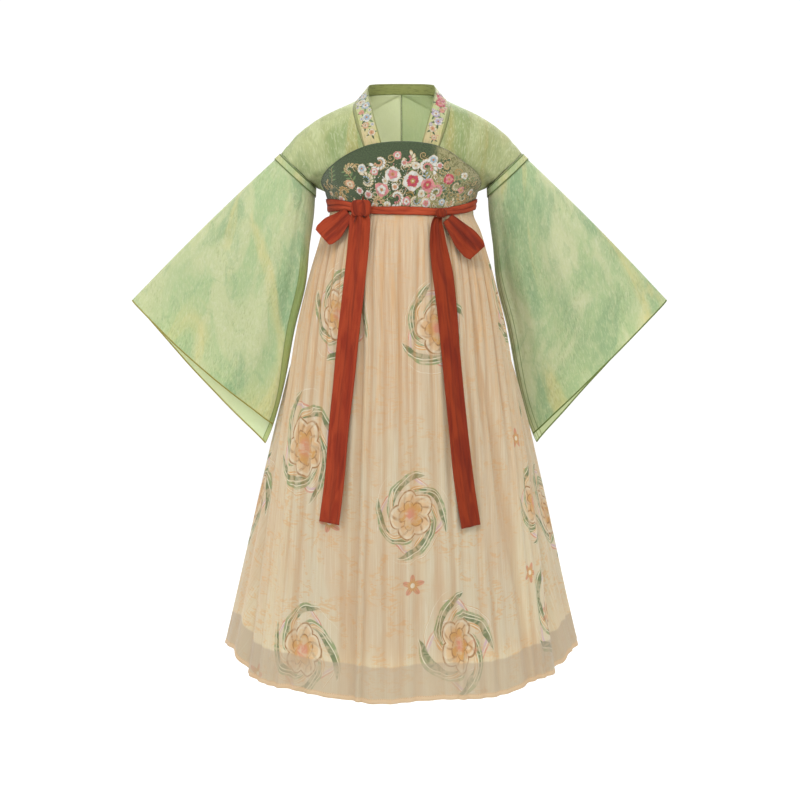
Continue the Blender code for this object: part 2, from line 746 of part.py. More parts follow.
def build_skirt_layer(name, layer):
    """One gathered layer of the skirt, from its band's foot to its hem."""
    top_line, depth, wave = fold_angles(*layer["top_angles"], layer["folds"], TOP_UNEVEN)
    hem_line, _, _ = fold_angles(*layer["hem_angles"], layer["folds"], HEM_UNEVEN)
    share = np.array(layer["drops"])[:, None]
    angle = top_line + ease(share**0.8) * (hem_line - top_line)
    top = smooth(layer["seam"]["angle"], layer["seam"]["z"], from_front(angle)) - BAND_SEAM
    z = top + share * (layer_hem(layer, angle) - top)
    out = layer["depth"] * smooth(GATHERS["drop"], GATHERS["depth"], top - z) * depth * wave
    folds = layer["long_folds"]
    for start, end, width, dip in zip(*(folds[column] for column in ("top", "hem", "width", "depth"))):
        line = start + (end - start) * share
        out = out - dip * bell(angle - line, width) * ease(share * 1.6)
    square = skirt_square(z)
    rings = layer["rings"]
    sizes = [smooth(rings["z"], rings[part], z) + out for part in ("half_width", "front", "back")]
    x, y = ring(angle, *sizes, square)
    cloth(name, np.stack([x, y, z], axis=-1), layer["wall"], layer["finish"], flip=True)


# ---------------------------------------------------------------- sash and bows


def sash_out(angle):
    """How far the sash stands off the figure: more over the front piece than over the back one."""
    behind = ease((from_front(angle) - SASH_STEPS_IN[0]) / (SASH_STEPS_IN[1] - SASH_STEPS_IN[0]))
    return SASH_OUT_FRONT + behind * (SASH_OUT_BACK - SASH_OUT_FRONT)


def build_sash():
    """The sash round the chest, one node for each stretch between its knots and side turns."""
    for name, (first, last, columns) in SASH_STRETCHES.items():
        angle = np.linspace(first, last, columns)
        angle[0] += SASH_END
        angle[-1] -= SASH_END
        wrapped = (angle + 180) % 360 - 180
        middle = smooth(SASH["angle"], SASH["z"], wrapped)
        half = smooth(SASH["angle"], SASH["half_height"], wrapped)
        across = np.linspace(1, -1, len(SASH_CREASES))[:, None]
        z = middle + across * half
        crease = np.array(SASH_CREASES)[:, None] * (0.75 + 0.25 * np.sin(np.radians(angle) * 6 + across * 2))
        out = sash_out(angle) + crease
        sizes = [smooth(FIGURE["z"], FIGURE[part], z) + out for part in ("half_width", "front", "back")]
        x, y = ring(angle + 0 * across, *sizes, CHEST_SQUARE)
        cloth(name, np.stack([x, y, z], axis=-1), RIBBON, "ribbon_cloth", flip=True)


def over_skirt(x, z, out):
    """y of the front surface at a place on the skirt's front, over its deepest gathers, moved out."""
    seam = BAND_FOOT["z"][0]
    drop = np.maximum(0.0, seam - z)
    clear = smooth(GATHERS["drop"], GATHERS["depth"], drop) + CLOTH + out
    below = np.minimum(z, seam)
    half_width = smooth(FRONT_SKIRT["z"], FRONT_SKIRT["half_width"], below) + clear
    front = smooth(FRONT_SKIRT["z"], FRONT_SKIRT["front"], below) + clear
    square = skirt_square(below)
    share = np.clip(np.abs(x) / half_width, 0, 0.98)
    return -front * (1 - share**square) ** (1 / square)


def build_tail(side, sign):
    """The free end of a bow, which hangs over the skirt's front."""
    path = TAILS[side]
    place = np.arange(len(path["x"]), dtype=float)
    steps = np.linspace(0, len(path["x"]) - 1, 15)
    x, z, width = (smooth(place, path[name], steps) for name in ("x", "z", "width"))
    run = np.stack([np.gradient(x), np.gradient(z)], axis=-1)
    run /= np.linalg.norm(run, axis=-1, keepdims=True)
    across = np.linspace(-0.5, 0.5, 5)
    px = x[:, None] - across * width[:, None] * run[:, 1:]
    pz = z[:, None] + across * width[:, None] * run[:, :1]
    drop = z[0] - z[:, None]
    pinch = smooth(TAIL_PINCH["drop"], TAIL_PINCH["depth"], drop) * np.cos(across * 4 * math.pi)
    sway = TAIL_SWAY * (1 + np.sin(drop * TAIL_SWAY_TURN + sign))
    y = over_skirt(px, pz, TAIL_CLEAR + sway) - pinch - TAIL_LIFT[side] * bell(drop, TAIL_LIFT_ENDS)
    cloth(f"tail_{side}", np.stack([px, y, pz], axis=-1), RIBBON, "ribbon_cloth")


def build_loop(side):
    """A bow's loop: the ribbon goes out over the skirt, turns back on itself and returns."""
    (root_x, root_z), (tip_x, tip_z) = LOOPS[side]
    run = np.array([tip_x - root_x, tip_z - root_z])
    length = np.linalg.norm(run)
    run /= length
    # Round the loop: out along the upper layer, through the turn, back along the under layer.
    travel = np.concatenate([LOOP_SHAPE["along"], LOOP_SHAPE["along"][::-1]])
    height = np.concatenate([LOOP_SHAPE["upper"], LOOP_SHAPE["under"][::-1]]) * LOOP_HALF_OPEN
    across = np.linspace(-0.5, 0.5, 5)
    width = smooth(LOOP_WIDTH["along"], LOOP_WIDTH["width"], travel)
    px = root_x + travel[:, None] * length * run[0] - across * width[:, None] * run[1]
    pz = root_z + travel[:, None] * length * run[1] + across * width[:, None] * run[0]
    lift = LOOP_LEAN + LOOP_HALF_OPEN + height[:, None]
    pucker = LOOP_PUCKER * (1 - travel[:, None]) * np.cos(across * 4 * math.pi)
    y = over_skirt(np.clip(px, -LOOP_STOPS_X, LOOP_STOPS_X), pz, lift) - pucker
    cloth(f"loop_{side}", np.stack([px, y, pz], axis=-1), RIBBON, "ribbon_cloth")


def build_knot(side):
    """A bow's knot: a small wrapped pillow over the sash."""
    width, depth, height = KNOT_SIZE[side]
    angle = KNOT_ANGLE[side]
    z = float(smooth(SASH["angle"], SASH["z"], angle)) + KNOT_RISE[side]
    seat = on_figure(np.array(angle), np.array(z), SASH_OUT_FRONT + KNOT_SEAT[side] + depth / 2)
    turns = np.radians(np.linspace(90, -90, KNOT_RINGS))
    around = np.radians(np.arange(KNOT_COLUMNS) * 360.0 / KNOT_COLUMNS)
    bulge = 1 + KNOT_BULGE * np.cos(3 * around)
    x = width / 2 * np.cos(turns)[:, None] ** 0.7 * np.cos(around) * bulge
    y = depth / 2 * np.cos(turns)[:, None] ** 0.7 * np.sin(around)
    rise = np.sign(np.sin(turns)) * np.abs(np.sin(turns)) ** 0.8
    z = height / 2 * rise[:, None] + 0 * around
    points = np.stack([x, y, z], axis=-1)[1:-1]
    rows, columns, _ = points.shape
    tilt = np.radians(angle)
    cosine, sine = math.cos(tilt), math.sin(tilt)
    spin = np.array([[cosine, -sine, 0], [sine, cosine, 0], [0, 0, 1]])
    points = points.reshape(-1, 3) @ spin.T + seat
    ends = np.array([seat + [0, 0, height / 2], seat - [0, 0, height / 2]])
    faces = grid_faces(rows, columns, True)
    top, foot = rows * columns, rows * columns + 1
    last = (rows - 1) * columns
    faces += [(top, (c + 1) % columns, c) for c in range(columns)]
    faces += [(foot, last + c, last + (c + 1) % columns) for c in range(columns)]
    mesh = bpy.data.meshes.new(f"knot_{side}")
    mesh.from_pydata(np.concatenate([points, ends]).tolist(), [], [face[::-1] for face in faces])
    mesh.shade_smooth()
    mesh.materials.append(finish_of(f"knot_{side}", "ribbon_cloth"))
    bpy.context.scene.collection.objects.link(bpy.data.objects.new(f"knot_{side}", mesh))


def main():
    for old in list(bpy.data.objects):
        bpy.data.objects.remove(old)
    build_collar()
    for side, sign in SIDES.items():
        build_blouse(side, sign)
        build_sleeve(side, sign)
        build_join_band(side, sign)
    build_bands()
    for name, layer in SKIRT_LAYERS.items():
        build_skirt_layer(name, layer)
    build_sash()
    for side, sign in SIDES.items():
        build_tail(side, sign)
        build_loop(side)
        build_knot(side)


main()
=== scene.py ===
"""A two-piece chest-high hanfu, dressed and lit: an open-fronted gauze blouse with wide sleeves, a
gathered skirt in a front and a back piece, embroidered chest bands and a tied ribbon sash.

Metres, +Z up. The front faces -Y and the wearer's left is +X. The origin is at the base of the neck.
"""

import logging
import math
from collections.abc import Iterable, Sequence
from dataclasses import dataclass, field
from enum import Enum
from typing import Any

import bpy
import numpy as np
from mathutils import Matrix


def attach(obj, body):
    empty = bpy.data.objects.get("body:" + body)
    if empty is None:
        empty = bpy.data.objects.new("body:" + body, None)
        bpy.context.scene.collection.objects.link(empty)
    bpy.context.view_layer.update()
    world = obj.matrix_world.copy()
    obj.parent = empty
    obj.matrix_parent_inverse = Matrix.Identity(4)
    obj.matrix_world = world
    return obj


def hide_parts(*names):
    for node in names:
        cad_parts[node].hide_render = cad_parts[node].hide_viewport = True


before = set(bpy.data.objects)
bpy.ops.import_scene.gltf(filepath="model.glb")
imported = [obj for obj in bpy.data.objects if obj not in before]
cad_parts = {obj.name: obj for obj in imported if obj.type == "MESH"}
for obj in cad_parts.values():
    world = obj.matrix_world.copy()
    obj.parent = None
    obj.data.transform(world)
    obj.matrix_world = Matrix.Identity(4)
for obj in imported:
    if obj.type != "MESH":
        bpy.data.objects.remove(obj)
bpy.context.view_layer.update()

Array = np.ndarray
Columns = dict[str, Array]
Colour = tuple[float, float, float, float]

MM = 0.001
STUDIO = 0.70  # share of a dye's daylight colour that it keeps under this studio's light
# How deep the skirt's gathers are, by the drop below its seam.
GATHERS = ("drop depth", "0 0, .016 .0007, .06 .003, .13 .0042, .27 .0052, .55 .0068, 1 .009")
log = logging.getLogger("hanfu")


class Side(Enum):
    """The wearer's own sides, by the sign of X."""

    RIGHT = -1
    LEFT = 1

    @property
    def word(self) -> str:
        """The side as it stands in a piece's name."""
        return self.name.lower()


class Slot(Enum):
    """The finishes that the record names."""

    BLOUSE = "blouse_cloth"
    COLLAR = "collar_cloth"
    BAND = "band_cloth"
    SKIRT = "skirt_cloth"
    LINING = "lining_cloth"
    RIBBON = "ribbon_cloth"


class Held(Enum):
    """How a sheet of cloth is held."""

    HUNG = "hung"
    DRAPED = "draped"
    GATHERED = "gathered"
    STRETCHED = "stretched"
    FOLDED = "folded"


# ---- numbers


def table(columns: str, text: str) -> Columns:
    """A table of numbers, as one array for each named column.

    Args:
        columns: The columns' names, with spaces between them.
        text: The rows, with commas between them.

    Returns:
        The columns by name.
    """
    names = columns.split()
    rows = [[float(word) for word in row.split()] for row in text.split(",") if row.strip()]
    return dict(zip(names, np.array(rows, float).reshape(-1, len(names)).T))


def listed(columns: str, text: str) -> Any:
    """A field whose usual value is that table."""
    return field(default_factory=lambda: table(columns, text))


def smooth(x: Array, y: Array, at: Any) -> Array:
    """The smooth curve through a table's points that never overshoots them (monotone cubic).

    Args:
        x: The places.
        y: The values there.
        at: Where the curve is read.

    Returns:
        The curve's values.
    """
    order = np.argsort(x)
    x, y = x[order], y[order]
    at = np.clip(np.asarray(at, float), x[0], x[-1])
    run = np.diff(x)
    rise = np.diff(y) / run
    slope = np.concatenate([rise[:1], np.zeros(len(x) - 2), rise[-1:]])
    same_way = rise[:-1] * rise[1:] > 0
    middle = slope[1:-1]
    middle[same_way] = 2 / (1 / rise[:-1][same_way] + 1 / rise[1:][same_way])
    i = np.clip(np.searchsorted(x, at, side="right") - 1, 0, len(run) - 1)
    t = (at - x[i]) / run[i]
    return (
        y[i] * (1 + 2 * t) * (1 - t) ** 2
        + slope[i] * run[i] * t * (1 - t) ** 2
        + y[i + 1] * t**2 * (3 - 2 * t)
        + slope[i + 1] * run[i] * t**2 * (t - 1)
    )


def read(rows: Columns, column: str, at: Any) -> Array:
    """A table's column as a smooth curve along its first one."""
    return smooth(next(iter(rows.values())), rows[column], at)


def ease(t: Any) -> Array:
    """0 to 1 with a soft start and end."""
    t = np.clip(t, 0.0, 1.0)
    return t * t * (3 - 2 * t)


def bell(distance: Any, width: float) -> Array:
    """A soft bump of height 1 that is gone at about twice its width."""
    return np.exp(-((distance / width) ** 2))


def ring(angle: Any, half_width: Any, front: Any, back: Any, square: Any) -> tuple[Array, Array]:
    """Places on a rounded ring.

    Args:
        angle: Degrees from the front.
        half_width: The ring's reach to each side.
        front: Its reach forward.
        back: Its reach backward.
        square: 2 for an ellipse, more for squarer corners.

    Returns:
        x and y.
    """
    turn = np.radians(angle)
    sine, cosine = np.sin(turn), np.cos(turn)
    power = 2 / square
    x = half_width * np.sign(sine) * np.abs(sine) ** power
    depth = np.where(cosine > 0, front, back)
    return x, -depth * np.sign(cosine) * np.abs(cosine) ** power


def from_front(angle: Any) -> Array:
    """The angle from the front, on either side."""
    return np.minimum(np.abs(angle), 360 - np.abs(angle))


def dye(red: float, green: float, blue: float) -> Colour:
    """A dye seen by daylight, 0 to 255 in each part, as the linear colour that shows so in this studio."""
    linear = [(v / 255 / 12.92 if v < 10.3 else ((v / 255 + 0.055) / 1.055) ** 2.4) for v in (red, green, blue)]
    return (linear[0] * STUDIO, linear[1] * STUDIO, linear[2] * STUDIO, 1.0)


@dataclass(frozen=True)
class Creases:
    """Soft folds. Each runs between two places on a sheet and dies away at its ends."""

    rows: Columns  # start, end (across); top, foot (down); width, depth (outward is positive)

    @classmethod
    def of(cls, text: str) -> "Creases":
        """The creases in these rows: start, end, top, foot, width, and depth in millimetres."""
        rows = table("start end top foot width depth", text)
        return cls(rows | {"depth": rows["depth"] * MM})

    @classmethod
    def strewn(cls, seed: int, count: int, across: tuple[float, float], down: tuple[float, float],
               length: float, width: float, depth: float) -> "Creases":
        """Small uneven creases all over a sheet.

        Args:
            seed: Of the draw.
            count: How many.
            across: The sheet's first and last place across.
            down: The first and last place down.
            length: Of a middling crease, down.
            width: Of a middling crease, across.
            depth: Of the deepest.

        Returns:
            The creases.
        """
        draw = np.random.default_rng(seed)
        start = draw.uniform(*across, count)
        top = draw.uniform(*down, count)
        return cls({
            "start": start,
            "end": start + draw.normal(0, 1.2 * width, count),
            "top": top,
            "foot": top + length * draw.uniform(0.5, 1.6, count),
            "width": width * draw.uniform(0.6, 1.5, count),
            "depth": depth * draw.uniform(0.3, 1.0, count) * np.where(draw.random(count) < 0.6, -1, 1),
        })

    def relief(self, across: Array, down: Array) -> Array:
        """How far the cloth moves outward.

        Args:
            across: Each point's place across the sheet.
            down: Each point's place down it.

        Returns:
            The move at each point.
        """
        total = np.zeros(np.broadcast(across, down).shape)
        for start, end, top, foot, width, depth in zip(*self.rows.values()):
            share = (down - top) / (foot - top)
            line = start + (end - start) * np.clip(share, 0, 1)
            total = total + depth * bell(across - line, width) * ease(share * 3.5) * ease((1 - share) * 3.5)
        return total


# ---- sheets


@dataclass
class Sheet:
    """A sheet of cloth as a grid of points on the inner face of its solid's wall."""

    name: str
    grid: Array
    wall: float  # of the solid
    closed: bool = False  # whether the last column meets the first
    flip: bool = False  # whether the outer face is away from the grid's own normals
    cloth: float = 0.8 * MM
    flat: Array | None = None  # each point's place on the flat cloth, in metres
    marks: dict[str, Array] = field(default_factory=dict)  # values that the finish reads

    def outward(self) -> Array:
        """The unit normal of the outer face at each point."""
        down = np.gradient(self.grid, axis=0)
        if self.closed:
            across = np.roll(self.grid, -1, axis=1) - np.roll(self.grid, 1, axis=1)
        else:
            across = np.gradient(self.grid, axis=1)
        normal = np.cross(across, down)
        normal /= np.maximum(np.linalg.norm(normal, axis=-1, keepdims=True), 1e-12)
        return -normal if self.flip else normal

    def raised(self, relief: Array) -> "Sheet":
        """The sheet, with each point moved outward by its own amount."""
        self.grid = self.grid + self.outward() * relief[..., None]
        return self

    def steps(self, axis: int) -> Array:
        """The length of each step of the grid, down (0) or across (1)."""
        grid = np.concatenate([self.grid, self.grid[:, :1]], axis=1) if self.closed else self.grid
        return np.linalg.norm(np.diff(grid, axis=axis), axis=-1)

    def lay_flat(self, middle: float = 0.5) -> None:
        """Gives each point its place on the flat cloth: across from a middle column, and up from the foot.

        Args:
            middle: The share of the width where the place across is 0.
        """
        across, down = self.steps(1), self.steps(0)
        place = np.concatenate([np.zeros((len(across), 1)), np.cumsum(across, axis=1)], axis=1)
        place = place - middle * place[:, -1:]
        rise = np.concatenate([np.cumsum(down[::-1], axis=0)[::-1], np.zeros((1, down.shape[1]))], axis=0)
        self.flat = np.stack([place, rise], axis=-1)

    def lay_open(self) -> None:
        """Gives each point of a tube its place on the flat cloth, which opens along the first column."""
        place = np.concatenate([np.zeros((len(self.grid), 1)), np.cumsum(self.steps(1), axis=1)], axis=1)
        self.marks["rim"] = np.minimum(place, place[:, -1:] - place)[:, :-1]
        place = place - place[:, self.grid.shape[1] // 2, None]
        self.marks["rim"] = np.minimum(self.marks["rim"], np.abs(place[:, :-1]))
        far = np.cumsum(np.concatenate([[0.0], np.linalg.norm(np.diff(self.grid[:, 0], axis=0), axis=1)]))
        self.flat = np.stack([place, (far[-1] - far)[:, None] + 0 * place], axis=-1)

    def cut(self) -> tuple[float, float, float]:
        """The flat width, length and area of the cloth that the sheet was cut from."""
        across, down = self.steps(1), self.steps(0)
        area = (across[1:] + across[:-1]) / 2 * ((down[:, :-1] + down[:, 1:]) / 2)
        return float(across.sum(axis=1).max()), float(down.sum(axis=0).max()), float(area.sum())

    def at(self, row: Array, column: Array, lift: Array | float) -> Array:
        """Points on the outer face, moved out.

        Args:
            row: Each point's row, whole or between two rows.
            column: Its column, likewise.
            lift: How far out it stands.

        Returns:
            The points.
        """
        row = np.clip(row, 0, self.grid.shape[0] - 1.001)
        column = np.clip(column, 0, self.grid.shape[1] - 1.001)
        r, c = row.astype(int), column.astype(int)
        fr, fc = (row - r)[..., None], (column - c)[..., None]
        normal = self.outward()
        face = self.grid + normal * ((self.wall + self.cloth) / 2)

        def between(values: Array) -> Array:
            """The values between the four nearest points."""
            top = values[r, c] * (1 - fc) + values[r, c + 1] * fc
            return top * (1 - fr) + (values[r + 1, c] * (1 - fc) + values[r + 1, c + 1] * fc) * fr

        return between(face) + between(normal) * np.asarray(lift)[..., None]

    def make(self, finish: "Finish") -> bpy.types.Object:
        """Makes the thin piece of cloth in the middle of its solid's wall.

        Args:
            finish: What it is made of.

        Returns:
            The piece.
        """
        if self.flat is None:
            self.lay_flat()
        inner = self.grid + self.outward() * ((self.wall - self.cloth) / 2)
        rows, columns, _ = inner.shape
        wide = columns if self.closed else columns - 1
        r, c = np.meshgrid(np.arange(rows - 1), np.arange(wide), indexing="ij")
        corners = [(r, c), (r, c + 1), (r + 1, c + 1), (r + 1, c)]
        if self.flip:
            corners = corners[::-1]
        faces = np.stack([a * columns + b % columns for a, b in corners], axis=-1).reshape(-1, 4)
        flat_columns = self.flat.shape[1]
        loops = np.stack([a * flat_columns + b for a, b in corners], axis=-1).reshape(-1)
        mesh = bpy.data.meshes.new(self.name)
        mesh.from_pydata(inner.reshape(-1, 3).tolist(), [], faces.tolist())
        layer = mesh.uv_layers.new(name="cloth")
        layer.data.foreach_set("uv", self.flat.reshape(-1, 2)[loops].astype(np.float32).ravel())
        for name, values in self.marks.items():
            mark = mesh.attributes.new(name, "FLOAT", "POINT")
            mark.data.foreach_set("value", values.astype(np.float32).ravel())
        mesh.shade_smooth()
        mesh.materials.append(finish.made(f"{self.name}_finish"))
        piece = bpy.data.objects.new(self.name, mesh)
        bpy.context.scene.collection.objects.link(piece)
        solid = piece.modifiers.new("cloth", "SOLIDIFY")
        solid.thickness = self.cloth
        solid.offset = 1.0
        solid.use_even_offset = True
        solid.use_rim = True
        return piece

    def dress(self, finish: "Finish", slot: Slot) -> bpy.types.Object:
        """Makes the piece in place of its solid."""
        piece = self.make(finish)
        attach(piece, "root")
        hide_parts(self.name)
        return piece

    def hang(self, finish: "Finish", slot: Slot, held: Held, rests_on: Sequence[str],
             trims: Sequence[bpy.types.Object] = ()) -> bpy.types.Object:
        """Makes the piece in place of its solid, and logs the size of the cloth it was cut from.

        Args:
            finish: What it is made of.
            slot: The record's name for that; not used.
            held: How the cloth is held; not used.
            rests_on: What it hangs from or lies on; not used.
            trims: Other pieces sewn on it; not used.

        Returns:
            The piece.
        """
        piece = self.dress(finish, slot)
        width, length, area = self.cut()
        log.info("%s: cut %.3f x %.3f m, %.4f square metres", self.name, width, length, area)
        return piece


# ---- finishes


class Recipe:
    """A material's nodes. Each method adds one and gives back its output."""

    def __init__(self, name: str) -> None:
        """Starts the material called name."""
        self.material = bpy.data.materials.new(name)
        self.material.use_nodes = True
        self.tree = self.material.node_tree
        self.shader = self.tree.nodes["Principled BSDF"]
        self.colour: Any = None  # of the coats so far

    def node(self, kind: str, inputs: dict[Any, Any], **settings: Any) -> bpy.types.Node:
        """Adds a node.

        Args:
            kind: The node's type, without ShaderNode.
            inputs: Its inputs by name or number: a value, or another node's output.
            settings: Its settings by name.

        Returns:
            The node.
        """
        made = self.tree.nodes.new("ShaderNode" + kind)
        for key, value in settings.items():
            setattr(made, key, value)
        self.give(made, inputs)
        return made

    def give(self, node: bpy.types.Node, inputs: dict[Any, Any]) -> None:
        """Sets a node's inputs: each to a value, or to another node's output."""
        for key, value in inputs.items():
            if isinstance(value, bpy.types.NodeSocket):
                self.tree.links.new(value, node.inputs[key])
            else:
                node.inputs[key].default_value = value

    def flat(self) -> Any:
        """Each point's place on the flat cloth."""
        return self.node("UVMap", {}, uv_map="cloth").outputs["UV"]

    def mark(self, name: str) -> Any:
        """A value that the mesh carries."""
        return self.node("Attribute", {}, attribute_name=name).outputs["Fac"]

    def scaled(self, vector: Any, across: float, along: float, turn: float = 0.0) -> Any:
        """The place on the cloth, stretched and turned."""
        inputs = {"Vector": vector, "Scale": (across, along, 1.0), "Rotation": (0.0, 0.0, turn)}
        return self.node("Mapping", inputs).outputs["Vector"]

    def parts(self, vector: Any) -> tuple[Any, Any]:
        """The first two parts of a place."""
        split = self.node("SeparateXYZ", {"Vector": vector})
        return split.outputs["X"], split.outputs["Y"]

    def noise(self, vector: Any, scale: float, detail: float = 2.0, warp: float = 0.0) -> Any:
        """Soft uneven values from 0 to 1."""
        inputs = {"Vector": vector, "Scale": scale, "Detail": detail, "Distortion": warp}
        return self.node("TexNoise", inputs, noise_dimensions="2D").outputs[0]

    def streaks(self, vector: Any, stretch: Sequence[float], scale: float, detail: float = 2.0,
                warp: float = 0.0) -> Any:
        """The same on a cloth stretched across and along, and turned."""
        return self.noise(self.scaled(vector, *stretch), scale, detail, warp)

    def wander(self, vector: Any, scale: float, reach: float) -> Any:
        """The place, moved a little one way and another, as a hand draws."""
        inputs = {"Vector": vector, "Scale": scale, "Detail": 2.0}
        drift = self.node("TexNoise", inputs, noise_dimensions="2D").outputs["Color"]
        off = self.node("VectorMath", {0: drift, 1: (0.5, 0.5, 0.5)}, operation="SUBTRACT").outputs[0]
        off = self.node("VectorMath", {0: off, 1: (reach, reach, 0.0)}, operation="MULTIPLY").outputs[0]
        return self.node("VectorMath", {0: vector, 1: off}, operation="ADD").outputs[0]

    def sum(self, operation: str, first: Any, second: Any = 0.0, third: Any = 0.0) -> Any:
        """One step of arithmetic, by its Blender name."""
        return self.node("Math", {0: first, 1: second, 2: third}, operation=operation).outputs[0]

    def step(self, value: Any, low: float, high: float) -> Any:
        """0 below low, 1 above high, and soft between; the other way round where high is less."""
        inputs = {"Value": value, "From Min": min(low, high), "From Max": max(low, high)}
        inputs |= {"To Min": float(low > high), "To Max": float(low <= high)}
        return self.node("MapRange", inputs, interpolation_type="SMOOTHSTEP").outputs["Result"]

    def mix(self, share: Any, first: Any, second: Any, blend: str = "MIX") -> Any:
        """A mix of two colours."""
        inputs = {"Factor": share, 6: first, 7: second}
        return self.node("Mix", inputs, data_type="RGBA", blend_type=blend).outputs[2]

    def times(self, first: Any, second: Any) -> Any:
        """One value times another."""
        return self.sum("MULTIPLY", first, second)

    def line(self, value: Any, slope: Any, start: Any) -> Any:
        """A start, and a slope times a value."""
        return self.sum("MULTIPLY_ADD", value, slope, start)

    def off(self, value: Any, middle: float = 0.0) -> Any:
        """How far a value is from a middle, either way."""
        return self.sum("ABSOLUTE", self.sum("SUBTRACT", value, middle) if middle else value)

    def coat(self, colour: Any, where: Any, share: Any = 1.0) -> None:
        """Lays a colour over the ones so far: where it lies, and the share of them that it hides."""
        self.colour = self.mix(where if share == 1.0 else self.times(where, share), self.colour, colour)

    def lines(self, value: Any, pitch: float) -> Any:
        """Even waves from -1 to 1 along a value."""
        return self.sum("SINE", self.times(value, 2 * math.pi / pitch))

    def weave(self, vector: Any, pitch: float) -> Any:
        """The height of a plain weave."""
        across, along = self.parts(vector)
        return self.times(self.lines(across, pitch), self.lines(along, pitch * 1.15))

    def done(self, roughness: Any, height: Any, relief: float, sheen: float, gloss: float = 0.25,
             sheer: float = 0.0) -> bpy.types.Material:
        """Joins the coats and the recipe's results to the shader.

        Args:
            roughness: The surface's roughness.
            height: Its fine relief, about -1 to 1.
            relief: The depth of that relief in metres.
            sheen: How much the cloth's nap catches the light.
            gloss: How strong its reflections are.
            sheer: The share of the light that soaks into the cloth, and through it where it is thin.

        Returns:
            The material.
        """
        bump = self.node("Bump", {"Strength": 1.0, "Distance": relief, "Height": height})
        self.tree.links.new(bump.outputs["Normal"], self.shader.inputs["Normal"])
        self.give(self.shader, {
            "Base Color": self.colour, "Roughness": roughness, "Metallic": 0.0, "Specular IOR Level": gloss,
            "Sheen Weight": sheen, "Sheen Roughness": 0.45,
        })
        if sheer:
            soaked = {"Subsurface Weight": sheer, "Subsurface Radius": (1.0, 1.0, 0.8), "Subsurface Scale": 4.0 * MM}
            self.give(self.shader, soaked)
        return self.material


@dataclass(frozen=True)
class Finish:
    """Something that a piece is made of."""

    def made(self, name: str) -> bpy.types.Material:
        """The material, under the given name."""
        raise NotImplementedError


